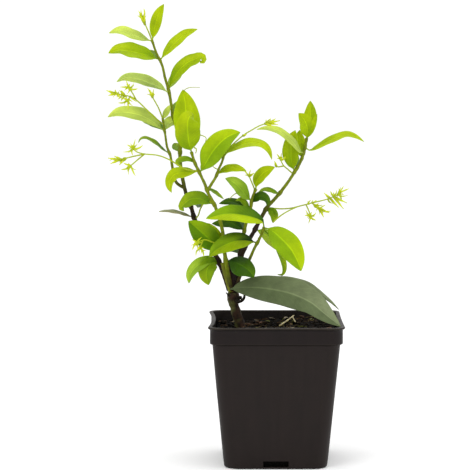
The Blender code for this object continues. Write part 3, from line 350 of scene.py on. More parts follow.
# Leaves of each shoot: rib from stem to tip, full width in mm, roll towards the sky and fold of each half
# in degrees, look
LEAVES = {
    "shoot_tall": [
        Leaf([(152.2, 41, 11), (155, 26, 9), (158.5, 14, 8), (163.8, 4, 7)], 8, 5, 15, "lime"),
        Leaf([(152, 41, 11), (143, 38.5, 13), (132, 34, 15), (120, 30, 17), (108.9, 33, 18)],
             9.5, 45, 10, "pale"),
        Leaf([(161, 58.5, 11), (152, 57, 9), (143.5, 54, 7), (130, 51.2, 4), (119, 50, 2), (108.4, 53, 0)],
             16, 50, 15, "fresh"),
        Leaf([(162.5, 59, 11), (168, 50, 13), (176, 41.5, 15), (184, 34.5, 17), (190, 31.5, 18),
              (197.5, 29, 19)], 9, 40, 10, "lime"),
        Leaf([(169.8, 89, 11), (173, 79, 10), (180, 69, 9), (188, 62, 8), (195, 59.2, 7),
              (199.5, 56.8, 6.5), (203, 57.6, 6.2), (203.4, 61, 6), (200.8, 62.2, 5.6), (199.6, 60.2, 5.4)],
             10.5, 35, 10, "fresh"),
        Leaf([(168.5, 93, 11), (160, 87, 9), (148, 81.5, 6), (136, 78, 3), (125, 77.5, 1),
              (116.5, 81.8, 0)], 10.5, 135, 10, "pale"),
        Leaf([(164.5, 131, 3.5), (152, 121, 7), (140, 115, 9), (128, 112.5, 11), (117, 112.5, 12),
              (107.7, 117, 13)], 12, 40, 15, "pale"),
        Leaf([(164.6, 130.5, 3.5), (168.5, 124, 12), (173, 121, 20), (177.5, 124, 26)], 9, 30, 10, "pale"),
        Leaf([(162.8, 119.5, 3.5), (166.5, 112, 6), (170, 105, 8)], 4.5, 20, 10, "pale"),
        Leaf([(168.3, 153.5, 4.5), (163, 149, 3), (156, 143, 1), (149, 139, -1), (144.6, 137.8, -2),
              (140.5, 139, -3), (138.2, 142.5, -3.5)], 7, 70, 10, "mid"),
        Leaf([(180.5, 152, 9.5), (177, 147, 16), (174, 143, 22)], 7, 20, 10, "mid"),
        Leaf([(193.5, 217.5, 6), (186, 214.8, 4), (177, 212.3, 2), (168, 211.2, 0), (158.9, 211.3, -1)],
             7, 70, 10, "dull"),
        Leaf([(217.8, 259.5, 2), (212, 258.5, -1), (203, 262, -4), (195, 267.5, -6), (190, 275, -7),
              (188.8, 283.4, -8)], 9, 25, 10, "soft"),
        Leaf([(218.6, 261.5, 1.5), (213, 262.5, -3), (207.5, 268, -6), (206.5, 276, -7),
              (208.6, 285.2, -8)], 12, 10, 15, "mid"),
        Leaf([(161, 58.5, 11), (153, 56, 22), (144, 54, 34), (136, 53, 44)], 9, 40, 10, "mid"),
        Leaf([(169.8, 89, 11), (172.5, 82, 22), (177.5, 74.5, 33), (184, 67.5, 43)], 7.5, 30, 10, "fresh"),
        Leaf([(172.5, 115, 10.5), (177, 109, 22), (183, 104, 33), (188, 99, 43)], 9, 20, 10, "mid"),
        Leaf([(164.5, 131, 3.5), (156, 124.5, 16), (147, 119.5, 28), (138, 116.5, 38)], 8, 35, 10, "mid"),
        Leaf([(190.6, 205, 7), (193, 203, 19), (197.5, 203, 31), (203, 205, 42)], 7.5, 25, 10, "deep"),
        Leaf([(206, 240, 4), (203, 236, 16), (199, 231, 29), (195, 227, 40)], 8.5, 25, 10, "mid"),
        Leaf([(218, 260, 2), (213, 263, 14), (208.5, 269, 26), (207, 276, 36)], 8, 20, 10, "deep"),
    ],
    "shoot_front": [
        Leaf([(191.3, 152.5, -15.5), (188.5, 138, -11), (186.8, 122, -7), (185.6, 107, -5),
              (184.2, 97, -4.3), (182.8, 89.5, -4)], 18.5, 10, 10, "bright"),
        Leaf([(191, 153, -16), (189.2, 144, -21), (187.8, 134, -25), (187.4, 126, -28), (188.2, 119.5, -28),
              (190.2, 116, -26), (193.5, 114.5, -22.5)], 17, 0, 8, "fresh"),
        Leaf([(199.5, 172.5, -13.5), (204, 166, -16), (211, 154, -20), (219, 144, -22), (229, 136, -23),
              (240.3, 132.2, -22)], 16.5, 20, 12, "patched"),
        Leaf([(198.5, 171, -13.5), (192, 172, -11), (184, 172.5, -9), (175, 174, -7), (170, 180, -6),
              (169.5, 187, -6), (171.4, 192.6, -6.5)], 9, 30, 10, "lime"),
        Leaf([(195.5, 163.5, -14.3), (190, 159.5, -15), (183.5, 159, -15), (178, 161, -15),
              (178.5, 164.5, -15.5), (182, 166, -16)], 5, 40, 10, "mid"),
        Leaf([(213.8, 204.5, -11), (207, 201.5, -9), (199, 198.5, -7), (191, 199, -5), (185, 203, -4),
              (181.5, 207.5, -4), (184, 211, -4.5)], 12, 35, 10, "mid"),
        Leaf([(207, 189.5, -12), (211, 190, -10), (217, 193.5, -8), (223.7, 198.8, -6)], 5, 60, 10, "mid"),
        Leaf([(223, 249, -7.6), (217, 246, -9), (209, 239, -10), (198, 229, -11), (188.5, 221, -11)],
             16, -5, 10, "leafy"),
        Leaf([(223, 240, -8.5), (214, 232, -8), (207, 223, -7)], 7, 20, 10, "lime"),
        Leaf([(225.6, 260.5, -6), (232.5, 261.5, -10), (241, 265, -15), (249, 270.5, -18),
              (254, 277.5, -20)], 15, 20, -15, "deep"),
        Leaf([(223, 157.5, -17.4), (228, 151.5, -18.5), (238, 146, -20), (250, 142.5, -22), (261, 144, -23),
              (268.5, 150, -24), (272, 159.5, -24.5)], 9, 50, 10, "lime"),
        Leaf([(216.7, 174.5, -14.8), (223, 171, -16), (231, 169.3, -18), (239, 169.5, -19.5),
              (246.4, 171.2, -21)], 8, 40, 30, "lime"),
        Leaf([(199.5, 172.5, -13.5), (207, 164, -1), (216, 154, 11), (226, 146.5, 22)], 9, 25, 10, "fresh"),
    ],
    "shoot_right": [
        Leaf([(266, 209, 8.6), (271.5, 211, 6), (274, 216, 4), (272.6, 222.5, 3)], 6.5, 20, 10, "mid"),
        Leaf([(280, 193, 10), (276.5, 192.5, 8), (270, 190, 6), (264, 189.5, 5), (258.5, 192, 4)],
             4.5, 45, 10, "mid"),
        Leaf([(294.5, 171.8, 11), (291.8, 163, 9), (290.8, 152, 8), (292, 141, 7), (295.3, 130.2, 6)],
             12.5, 25, 10, "fresh"),
        Leaf([(303.6, 153, 11), (299.5, 150.5, 5), (293, 142, 2), (285.7, 135.5, 1.5), (277, 130, 2),
              (267, 128, 3), (256.7, 129.3, 3)], 7, 45, 10, "pale"),
        Leaf([(302, 158.5, 11), (301, 150, 15), (299.5, 140, 17), (299.5, 130, 18)], 9, -20, 10, "bright"),
        Leaf([(306.5, 139, 11), (307.5, 130, 7), (305, 121, 4), (298.7, 113.2, 2)], 11, 20, 10, "bright"),
        Leaf([(306.8, 138.5, 11), (309.5, 125, 13), (310.5, 112, 14), (310.3, 100.7, 14.5)],
             9.5, 10, 10, "fresh"),
        Leaf([(306.7, 139.5, 11), (311, 130, 7.5), (314.5, 121, 5), (317, 114, 4)], 4.5, 10, 10, "bright"),
        Leaf([(305.4, 147, 11), (311, 150, 11), (326.5, 142, 13), (344, 134.5, 15), (355, 136, 16),
              (364, 141.5, 17)], 7.5, 50, 10, "lime"),
        Leaf([(255.4, 229, 6.5), (265, 234.5, 17), (276, 243, 30), (285, 253, 41)], 9.5, 20, 10, "fresh"),
        Leaf([(297.1, 168, 11), (294.5, 160, 24), (292, 151, 35), (291.5, 142, 44)], 7.5, 20, 10, "mid"),
    ],
    "shoot_middle": [
        Leaf([(251.6, 201.5, -0.8), (246.5, 196, -3), (240, 188, -6), (233, 182, -9), (225.4, 178.3, -11)],
             11, 35, 12, "soft"),
        Leaf([(255.7, 189.5, -2.4), (257, 181, -4), (261.5, 174.5, -6), (268, 170, -8), (274.8, 167, -9)],
             9, 25, 10, "lime"),
        Leaf([(251.6, 203.5, -0.6), (255.5, 198.5, -3), (260.5, 196, -5), (265.5, 198, -6),
              (267.8, 202, -6.5), (267, 206, -6.5)], 7, 30, 10, "deep"),
        Leaf([(248.8, 213, 0.6), (241, 205, 2), (230, 201.5, 4), (219, 203.5, 5)], 7, 40, 10, "deep"),
        Leaf([(249.5, 210, 0.3), (245, 203, -3), (240.5, 199.5, -5), (235.7, 200.6, -6)],
             4.5, 30, 10, "mid"),
        Leaf([(244.6, 231, 2.4), (238, 226, 0), (229, 222.5, -1), (220, 223.5, -2), (212, 223.5, -3)],
             8, 30, 10, "deep"),
        Leaf([(244.6, 231, 2.4), (240, 226, 14), (232, 222, 27), (223, 220.5, 39)], 9, 30, 10, "deep"),
        Leaf([(239.5, 254, 7), (234, 249, 18), (227, 247, 30), (219.5, 249, 41)], 8.5, 25, 10, "deep"),
    ],
    "shoot_low": [
        Leaf([(264, 228, -16), (270, 229.5, -18), (279, 236.5, -22), (290, 248, -26), (297, 260, -28),
              (301.1, 271.2, -29)], 17, 10, 12, "patched"),
        Leaf([(263.4, 229.5, -15.5), (272, 238, -12), (277, 245, -10.5), (282, 257, -10), (284.5, 268, -10),
              (282.5, 274.5, -10.5), (277.5, 274.5, -11)], 5, 30, 10, "mid"),
        Leaf([(264, 227.5, -16), (262, 221, -19), (250, 216.5, -23), (235, 214, -26), (222, 214.5, -28),
              (206, 218.5, -29)], 14, 35, 15, "arch"),
        Leaf([(257.6, 243, -12), (247, 240.5, -15), (236, 241, -18), (226, 244.5, -20), (216, 250, -22),
              (209, 257, -23)], 13.5, 25, 12, "drape"),
    ],
}

# Two old leaves that start beside the crown, the front one with hardly any petiole
OLD_LEAVES = {
    "old_leaf_front": Leaf([(230, 289.2, -4.9), (240, 287.5, -8), (255, 287.5, -12), (270, 289, -17),
                            (290, 293.3, -24), (310, 302, -32), (325, 314, -40), (340.5, 326.3, -46.5)],
                           21, 20, 8, "old", OLD_PETIOLE_SHARE),
    "old_leaf_back": Leaf([(236.5, 291, 3.6), (245, 286, 6), (262, 282, 10), (285, 280, 15), (305, 284, 19),
                           (318, 292, 22), (330, 301, 24), (338.9, 309.4, 25)], 9, 60, 10, "old"),
}

# Flower sprays: the shoot that carries each one, its stalks, and the petals and buds of each foot,
# which is the first place in a row and is followed by their tips
SPRAYS = {
    "spray_top": Spray(
        "shoot_tall",
        [[(152.2, 41, 11), (149, 33, 10.5), (145, 24, 10), (142.5, 19, 10)]],
        [[(142.5, 19, 10), (138.3, 10.5, 9), (140.8, 9.5, 12), (143.8, 8.5, 9)]],
        [[(144.6, 23.5, 10), (139.3, 14.5, 8), (144.2, 14, 8.5)], [(144.8, 24, 10), (141.5, 13, 12)]]),
    "spray_upper_left": Spray(
        "shoot_tall",
        [[(163.3, 124.5, 3.5), (156.6, 119, -1), (147, 110, -4), (136.7, 100.3, -6), (130, 96.5, -7),
          (118, 94, -8), (113, 92.8, -8)], [(136.2, 100, -6), (133, 94, -7.5), (129.5, 88.5, -8)],
         [(130, 96.5, -7), (128, 100, -8)]],
        [[(129.3, 88, -8), (120, 87, -9), (126, 80, -7.5), (137.8, 88.6, -9), (127.3, 94, -11),
          (133.5, 83, -6)],
         [(128, 100, -8), (118, 103, -9), (133, 106, -9), (128.5, 109, -8), (122, 97.5, -11)],
         [(118, 94, -8), (113, 97.5, -9), (115, 89.5, -7)],
         [(122, 94.8, -7.8), (119, 90.5, -8.5), (117.5, 99.5, -9)], [(126, 95.6, -7.4), (121, 101, -6)],
         [(130, 96.5, -7), (137, 102, -8)]],
        [[(114, 93, -8), (106.5, 90.5, -8)], [(115, 93.5, -8), (108.5, 95.5, -9.5)],
         [(118, 94, -8), (119.5, 98, -10)], [(124, 95, -7.5), (121.5, 90.5, -8)]]),
    "spray_small_left": Spray(
        "shoot_tall",
        [[(162.7, 119, 3.5), (159, 109, 1), (155, 101.5, -1), (152, 96.5, -2)]],
        [[(152.4, 97.2, -2), (147.5, 88, -3), (153.8, 89, -2.5)]],
        [[(152.4, 97.2, -2), (150, 90, -3.5)]]),
    "spray_middle_left": Spray(
        "shoot_front",
        [[(198.6, 171, -13.6), (187, 169.5, -17), (178, 165, -18), (170, 160, -19), (158, 155.4, -20),
          (144.6, 154, -21), (137, 152, -21), (133.5, 149, -21)],
         [(144.6, 154, -21), (133, 156.5, -22), (118, 160, -23)],
         [(144.6, 154, -21), (138, 159.5, -21), (131, 165.4, -21)]],
        [[(133.5, 148.5, -21), (126.8, 144.7, -22), (135.3, 139.2, -21), (142.6, 145.4, -22),
          (123, 152, -22), (133, 155.4, -24)],
         [(130.6, 165.7, -21), (121, 169.7, -22), (128.6, 174.6, -21), (135.3, 175.8, -22),
          (123.5, 163, -22)], [(121, 159.3, -22.8), (116, 162.5, -21.5)],
         [(126, 158.1, -22.4), (121.5, 161.5, -21)], [(118, 160, -23), (109.5, 160.8, -22)]],
        [[(119, 160, -23), (108, 158, -23), (110.5, 163.7, -24)], [(121, 159.5, -23), (114.5, 156, -22)],
         [(124, 158.6, -22.5), (119.5, 165, -22)]]),
    "spray_lower_left": Spray(
        "shoot_front",
        [[(223.6, 246.5, -7.8), (218, 244, -11.5), (212, 242, -14), (205, 239.8, -16), (198.5, 242, -17.5)],
         [(203, 240, -16.6), (201.5, 244, -17.6), (200.3, 248, -18)]],
        [[(198, 243, -17.5), (192, 239.4, -18), (190.8, 245.4, -18), (192.4, 250, -18), (201.8, 237, -18)],
         [(200.3, 248, -18), (196, 256.6, -18), (203.8, 256.6, -18), (205.8, 250.6, -18.5)]],
        [[(200.5, 246, -18), (197, 250.5, -20)]]),
    "spray_centre": Spray(
        "shoot_front",
        [[(223.9, 155, -17.8), (227, 150, -15), (231, 146, -13.5), (243, 135.5, -13), (251, 130.5, -13.5),
          (258.9, 126, -14), (267, 123, -14.5)]],
        [[(268, 122.8, -14.5), (275.9, 118.4, -14)], [(266, 123.2, -14.5), (270.5, 118.6, -13.5)]],
        [[(267, 123, -14.5), (280, 120.6, -15), (278, 124.6, -13.5)],
         [(265, 123.6, -14.5), (272.5, 126, -16)], [(243, 135.5, -13), (246.5, 134.6, -15)]]),
    "spray_small_centre": Spray(
        "shoot_middle",
        [[(255, 190.5, -2.2), (252, 183, 0.5), (249, 176, 1)]],
        [[(249.2, 176.5, 1), (244, 170.5, 1), (250.5, 169.5, 1.5)]],
        [[(249.2, 176.5, 1), (254, 173, 2)]]),
    "spray_right_top": Spray(
        "shoot_right",
        [[(293.1, 174, 11), (287.5, 169, 9.5), (283.5, 165.5, 8), (280.8, 160.5, 7)],
         [(284, 165.9, 8.2), (279, 166.8, 6.5), (275.5, 166.5, 5.5)]],
        [[(280.8, 160, 7), (276.8, 154, 7), (281.5, 153, 6), (285.5, 156.5, 6.5)]],
        [[(276.5, 166.6, 5.8), (274.5, 161, 5)]]),
    "spray_right": Spray(
        "shoot_right",
        [[(267.2, 207.3, 8.8), (273.8, 208.4, 10.5), (283, 208.8, 12), (292, 208, 13), (300, 206, 14),
          (311.7, 203, 15), (326, 199.5, 16), (334, 196.3, 16), (338, 194.3, 16)],
         [(273, 222.3, -6), (278, 217.8, 0), (284, 213.4, 6), (291, 209.6, 11), (297, 207, 13.5)],
         [(306, 204.6, 14.5), (308.5, 210, 13), (310.5, 215.8, 12)],
         [(312, 203, 15), (317, 207.5, 14), (321, 209.5, 14)]],
        [[(310.5, 216, 12), (304.6, 215.4, 11), (308.6, 223.6, 12), (316, 220.2, 11), (305.8, 209.8, 12),
          (316, 212.2, 13)], [(334, 196.3, 16), (330.6, 191, 15), (336.5, 190, 15)],
         [(338, 194.3, 16), (343.5, 186.3, 15), (349, 188.6, 16), (347.8, 195, 14), (341.5, 200.5, 17)],
         [(328, 198.9, 16), (333, 203.4, 17)], [(308, 204.2, 14.7), (311, 199.8, 15)],
         [(312, 203, 15), (316.5, 200, 16)], [(314, 204.8, 14.6), (322.5, 205.5, 15)],
         [(316, 206.6, 14.2), (325, 210, 13)], [(319, 208.5, 14), (331, 211, 15)],
         [(318, 208, 14), (319.5, 214.5, 13)]],
        [[(321, 209.5, 14), (329.5, 213, 14)], [(320, 209, 14), (323.7, 217.4, 13)],
         [(334, 197, 16), (347, 203, 16), (343.6, 209, 15)],
         [(330, 198.3, 16), (338.5, 207.4, 14), (324, 193, 16)]]),
}

# Straw that lies across the soil
STRAW = [
    Stem([(279.7, 325.6, -14), (286.5, 321, 6), (293.8, 315.6, 26)], 0.55, 0.5),
    Stem([(292.2, 316.8, 21), (295.5, 322.2, 5)], 0.4, 0.4),
]


def new_mesh(name, points, faces):
    """A mesh whose faces look outward."""
    mesh = bpy.data.meshes.new(name)
    mesh.from_pydata([tuple(point) for point in points], [], faces)
    shell = bmesh.new()
    shell.from_mesh(mesh)
    bmesh.ops.recalc_face_normals(shell, faces=shell.faces)
    shell.to_mesh(mesh)
    shell.free()
    return mesh


def new_object(name, data):
    obj = bpy.data.objects.new(name, data)
    bpy.context.scene.collection.objects.link(obj)
    return obj


class Piece:
    """Points, faces and colours of one piece while it is put together."""

    def __init__(self):
        self.points = []
        self.faces = []
        self.tints = []
        self.places = []

    def ring(self, spots, tint, places=None):
        """Add a row of points in one colour or one colour each, and return their numbers."""
        numbers = list(range(len(self.points), len(self.points) + len(spots)))
        self.points += spots
        self.tints += tint if isinstance(tint, list) else [tint] * len(spots)
        self.places += places or [(0.0, 0.0, 0.0)] * len(spots)
        return numbers

    def skin(self, rings):
        """Cover a row of equal closed rings with faces, and close both ends."""
        for low, high in zip(rings, rings[1:]):
            for index in range(len(low)):
                following = (index + 1) % len(low)
                self.faces.append((low[index], low[following], high[following], high[index]))
        self.faces += [tuple(rings[0][::-1]), tuple(rings[-1])]

    def finish(self, name, material, node):
        """Make the object, which takes the place of a node of the part."""
        mesh = new_mesh(name, self.points, self.faces)
        mesh.polygons.foreach_set("use_smooth", [True] * len(mesh.polygons))
        tint = mesh.attributes.new("tint", "FLOAT_COLOR", "POINT")
        tint.data.foreach_set("color", [part for colour in self.tints for part in (*colour, 1.0)])
        place = mesh.attributes.new("place", "FLOAT_VECTOR", "POINT")
        place.data.foreach_set("vector", [part for spot in self.places for part in spot])
        mesh.materials.append(material)
        obj = new_object(name, mesh)
        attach(obj, BODY)
        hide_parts(node)
        return obj


def smooth_path(points, steps):
    """Points evenly spread along a Catmull-Rom curve through the given ones."""
    ends = [points[0] * 2 - points[1]] + points + [points[-1] * 2 - points[-2]]
    fine = []
    for before, start, end, after in zip(ends, ends[1:], ends[2:], ends[3:]):
        for step in range(8):
            t = step / 8
            fine.append(0.5 * ((2 * start) + (end - before) * t
                               + (2 * before - 5 * start + 4 * end - after) * t ** 2
                               + (3 * start - before - 3 * end + after) * t ** 3))
    fine.append(points[-1])
    lengths = [0.0]
    for start, end in zip(fine, fine[1:]):
        lengths.append(lengths[-1] + (end - start).length)
    spread = []
    index = 0
    for step in range(steps + 1):
        target = lengths[-1] * step / steps
        while index < len(fine) - 2 and lengths[index + 1] < target:
            index += 1
        share = (target - lengths[index]) / max(lengths[index + 1] - lengths[index], 1e-9)
        spread.append(fine[index].lerp(fine[index + 1], min(max(share, 0.0), 1.0)))
    return spread


def directions(path):
    """The way ahead at each point of a path."""
    return [(path[min(index + 1, len(path) - 1)] - path[max(index - 1, 0)]).normalized()
            for index in range(len(path))]


def frames(path):
    """Each point of a path, with two directions square to the path that don't spin along it."""
    ahead = directions(path)
    side = ahead[0].orthogonal().normalized()
    for place, forward in zip(path, ahead):
        side = (side - forward * side.dot(forward)).normalized()
        yield place, side, forward.cross(side)


def around(side, across, count, turn=0.0):
    """Outward directions spread evenly round a middle line."""
    angles = [math.tau * index / count + turn for index in range(count)]
    return [side * math.cos(angle) + across * math.sin(angle) for angle in angles]


def add_tube(piece, path, radii, tints, sides, rough=0.0):
    """A round tube along a path, its skin made uneven by a share of its radius."""
    rings = []
    for (place, side, across), radius, tint in zip(frames(path), radii, tints):
        spots = []
        for out in around(side, across, sides):
            lump = rough * noise.noise((place + out * radius) * LUMP_SCALE) if rough else 0.0
            spots.append(place + out * radius * (1 + lump))
        rings.append(piece.ring(spots, tint))
    piece.skin(rings)


def stem_axis(stem):
    spots = [at(*place) for place in stem.path]
    return smooth_path(spots, max(2, len(spots) - 1))


def tapered(stem, steps):
    """A stem's middle line in even steps, and its radius at each."""
    return smooth_path(stem_axis(stem), steps), evenly(stem.start * MM, stem.end * MM, steps)


def stem_colour(place, bark_down, green_down):
    """Brown bark low on the stem, turning to green by its height in the view, with uneven patches."""
    patch = noise.noise(place * 260) * 0.35
    green = min(max(ease(bark_down, green_down, view_down(place)) + patch * 0.5, 0.0), 1.0)
    return mix(mix(BARK, RED_BARK, min(max(0.5 + patch * 2, 0.0), 1.0)), STEM_GREEN, green)


def add_stem(piece, stem, joints, greening):
    """A stem with a swelling where each leaf pair is rooted."""
    path, radii = tapered(stem, (len(stem_axis(stem)) - 1) * 6)
    swollen = []
    for place, radius in zip(path, radii):
        swell = max([ease(JOINT_FAR, JOINT_NEAR, (place - joint).length) for joint in joints] + [0.0])
        swollen.append(radius * STEM_FULLNESS * (1 + JOINT_SWELL * swell))
    tints = [stem_colour(place, *greening) for place in path]
    add_tube(piece, path, swollen, tints, sides=12, rough=0.16)


def root_on(name, place):
    """The nearest point to a place on a shoot's stems, where a leaf or stalk is rooted."""
    spot = at(*place)
    best = spot
    reach = ROOT_REACH
    for stem in STEMS[name]:
        axis = stem_axis(stem)
        for start, end in zip(axis, axis[1:]):
            run = end - start
            share = min(max((spot - start).dot(run) / run.length_squared, 0.0), 1.0)
            near = start + run * share
            if (near - spot).length < reach:
                best = near
                reach = (near - spot).length
    return best


def blade_half(share, petiole):
    """Half the blade's width at a share of the leaf's length, 1 at its widest."""
    if share <= petiole:
        return 0.0
    along = (share - petiole) / (1 - petiole)
    rise = (along / WIDEST) ** (FULLNESS * WIDEST)
    fall = ((1 - along) / (1 - WIDEST)) ** (FULLNESS * (1 - WIDEST))
    return rise * fall


def leaf_sides(ahead, place, roll, leftwards):
    """Across the leaf and out of its upper face, with a positive roll turning that face to the sky."""
    across = ahead.cross((EYE - place).normalized()).normalized()
    out = across.cross(ahead)
    if leftwards:
        across = -across
    turn = math.radians(roll)
    return across * math.cos(turn) + out * math.sin(turn), out * math.cos(turn) - across * math.sin(turn)


def leaf_colour(look, share, column, seed):
    root, tip, lower = LOOKS[look]
    drift = noise.noise(Vector((share * 3.0, column * 1.4, seed * 7.3)))
    upper = mix(root, tip, ease(0.1, 0.95, share + drift * 0.25))
    # Mixing towards the lower tone on one half of the blade paints that half's light and shade.
    return dim(mix(upper, lower, ease(-0.06, 0.1, column) * 0.85), 1 + 0.12 * drift)


def add_leaf(piece, leaf, root, seed, steps=LEAF_STEPS):
    """A thin folded blade with a sunk rib, a soft wave along its edges and a short round petiole."""
    path = smooth_path([root] + [at(*place) for place in leaf.rib[1:]], steps)
    leftwards = path[-1].x < path[0].x
    fold = math.radians(leaf.fold)
    rings = []
    for index, (place, ahead) in enumerate(zip(path, directions(path))):
        share = index / steps
        across, out = leaf_sides(ahead, place, leaf.roll, leftwards)
        stalk = PETIOLE_HALF * (1 - 0.75 * share)
        half = max(blade_half(share, leaf.petiole) * leaf.width * MM / 2, stalk)
        openness = min(half / OPEN_HALF, 1.0)
        upper = []
        lower = []
        for column in LEAF_COLUMNS:
            spread = abs(column)
            lift = math.sin(fold) * (math.sqrt(spread ** 2 + 0.01) - 0.1)
            ripple = math.sin(share * WAVE_RADIANS + seed * 2.1 + math.copysign(0.9, column))
            bend = WAVE_HEIGHT * ripple * spread ** 2 + EDGE_CURL * spread ** 4
            groove = GROOVE_DEPTH * openness * math.exp(-(column / 0.08) ** 2)
            ridge = RIDGE_DEPTH * openness * (1 - share) * math.exp(-(column / 0.09) ** 2)
            thick = BLADE_THICK * (1 - 0.45 * spread ** 3) + (1 - openness) * 0.25 * MM * (1 - share)
            spot = place + across * (column * half * math.cos(fold))
            spot += out * (half * (lift + bend * openness) - groove)
            upper.append(spot)
            lower.append(spot - out * (thick + ridge))
        tints = [leaf_colour(leaf.look, share, column, seed) for column in LEAF_COLUMNS]
        under = [mix(tint, LEAF_UNDER, 0.3) for tint in tints]
        places = [(share, column, seed) for column in LEAF_COLUMNS]
        rings.append(piece.ring(upper + lower[::-1], tints + under[::-1], places + places[::-1]))
    piece.skin(rings)


def flower_frame(start, end):
    """Two directions square to a petal or bud: level in the view, and into it."""
    ahead = (end - start).normalized()
    level = (EYE - start).cross(ahead).normalized()
    return level, ahead.cross(level)


def add_petal(piece, start, end, half_wide, twist, seed):
    """A slender blade that twists, bends back a little and sways to one side."""
    level, deep = flower_frame(start, end)
    length = (end - start).length
    rings = []
    for share in evenly(0, 1, PETAL_STEPS):
        width = half_wide * (0.72 - 0.2 * share) * min(1.0, 0.3 + 3.5 * (1 - share))
        angle = twist * share
        wide = level * math.cos(angle) + deep * math.sin(angle)
        thin = deep * math.cos(angle) - level * math.sin(angle)
        arc = length * math.sin(math.pi * share)
        centre = start.lerp(end, share * 1.06 - 0.06) + thin * PETAL_BEND * arc
        centre += level * PETAL_SWAY * arc * math.sin(seed * 2.7)
        thick = PETAL_THICK * (1 - 0.6 * share)
        spots = [centre + wide * width * across + thin * thick * through
                 for across, through in PETAL_SECTION]
        tint = mix(PETAL_GREEN, PETAL_YELLOW, ease(0.1, 0.8, share + 0.2 * math.sin(seed)))
        rings.append(piece.ring(spots, tint))
    piece.skin(rings)


def add_bud(piece, start, end, seed):
    """A closed bud: a spindle with five twisted ridges over a small green cup."""
    level, deep = flower_frame(start, end)
    rings = []
    for share in evenly(0, 1, BUD_STEPS):
        cup = 1.15 if share < 0.2 else 1.0
        radius = BUD_RADIUS * cup * (0.35 + 0.65 * math.sin(math.pi * min(share + 0.16, 1.0)) ** 0.8)
        centre = start.lerp(end, share * 1.1 - 0.1)
        spots = []
        for index, out in enumerate(around(level, deep, BUD_SIDES, share * 1.8 + seed)):
            ridge = 1.0 + (0.14 if index % 2 else -0.1) * (1 - share)
            spots.append(centre + out * radius * ridge)
        rings.append(piece.ring(spots, mix(STALK_GREEN, PETAL_YELLOW, ease(0.1, 0.7, share))))
    piece.skin(rings)


def square_ring(half, height):
    """The pot's rounded square at one height, its four sides bowed in where the rim gives."""
    corner = BASE_CORNER + (RIM_CORNER - BASE_CORNER) * height / POT_HEIGHT
    bow = max(0.0, (height - (POT_HEIGHT - BOW_HEIGHT)) / BOW_HEIGHT) ** 1.5
    middle = half - corner
    ring = []
    for quarter, (right, back) in enumerate(((1, 1), (-1, 1), (-1, -1), (1, -1))):
        centre = Vector((right * middle, back * middle, height))
        turned = (quarter + 1) * math.pi / 2
        for angle in evenly(quarter * math.pi / 2, turned, CORNER_STEPS):
            ring.append(centre + Vector((math.cos(angle), math.sin(angle), 0)) * corner)
        heading = Vector((-math.sin(turned), math.cos(turned), 0))
        start = ring[-1].copy()
        for step in range(1, SIDE_STEPS):
            ring.append(start + heading * 2 * middle * step / SIDE_STEPS)
    for point in ring:
        for axis, other in ((0, 1), (1, 0)):
            room = max(1 - (point[other] / (half - corner * 0.5)) ** 2, 0.0)
            if abs(point[axis]) > half * 0.9:
                depth = RIM_BOW_LEFT if axis == 0 and point.x < 0 else RIM_BOW
                point[axis] -= math.copysign(depth * bow * room, point[axis])
    return ring


def wall_half(height):
    """Half the body's outer width at a height."""
    return BASE_HALF + (BODY_TOP_HALF - BASE_HALF) * height / BAND_FOOT


def profile(half, height, *rows):
    """Rows of (out, up, colour) in mm from one corner of the pot's section."""
    return [(half + out * MM, height + up * MM, tint) for out, up, tint in rows]


def make_pot(surface):
    """The pot's wall as one closed skin: up its outside, over the lip and down to the inside floor, painted
    near-black in shade on the foot's underside, under the band and the lip, and all over the inside.
    """
    plain, band, highlight, dark = POT_PLAIN, POT_BAND, POT_HIGHLIGHT, POT_SHADE
    body_top = wall_half(BAND_FOOT)
    inside = BAND_HALF - LIP_THICK
    # The near-black rows are painted shade: the foot's underside, under the band's ledge and the lip, and
    # the inside walls down to the floor.
    rows = profile(BASE_HALF, 0.0, (-1.6, 0, dark), (-0.8, 0.15, plain), (-0.2, 0.8, plain),
                   (0, 1.6, plain))
    for height in evenly(0.0, BAND_FOOT, WALL_ROWS)[1:-1]:
        rows.append((wall_half(height), height, plain))
    rows += profile(body_top, BAND_FOOT, (-0.1, -1, plain), (0, -0.75, plain), (0.25, -0.6, plain),
                    (0.3, -0.4, plain), (0, -0.2, dark))
    # The lighter rows on the ledge at the band's foot and on the lip's top and edges are painted highlight,
    # where those faces catch the light.
    rows += profile(BAND_HALF, BAND_FOOT, (-0.35, 0, dark), (-0.08, 0.25, highlight), (0, 0.7, band))
    rows += profile(BAND_HALF, POT_HEIGHT, (0, -4.5, band), (0, -2.3, band), (0.3, -1.75, dark))
    rows += profile(RIM_HALF, POT_HEIGHT, (-0.35, -1.25, plain), (0, -0.95, highlight), (0, -0.4, highlight),
                    (-0.25, -0.1, highlight), (-0.6, 0, highlight))
    rows += profile(inside, POT_HEIGHT, (0.5, -0.02, highlight), (0.12, -0.3, highlight), (0, -1, plain))
    rows += profile(inside, BAND_FOOT, (0, 1, dark))
    rows += profile(body_top - WALL, BAND_FOOT, (0, -1, dark))
    for share in (0.8, 0.6, 0.3):
        rows.append((wall_half(BAND_FOOT * share) - WALL, BAND_FOOT * share, dark))
    rows.append((BASE_HALF - WALL, FLOOR, dark))
    piece = Piece()
    piece.skin([piece.ring(square_ring(half, height), tint) for half, height, tint in rows])
    cut_slots(piece.finish("pot_shell", surface, "pot"))


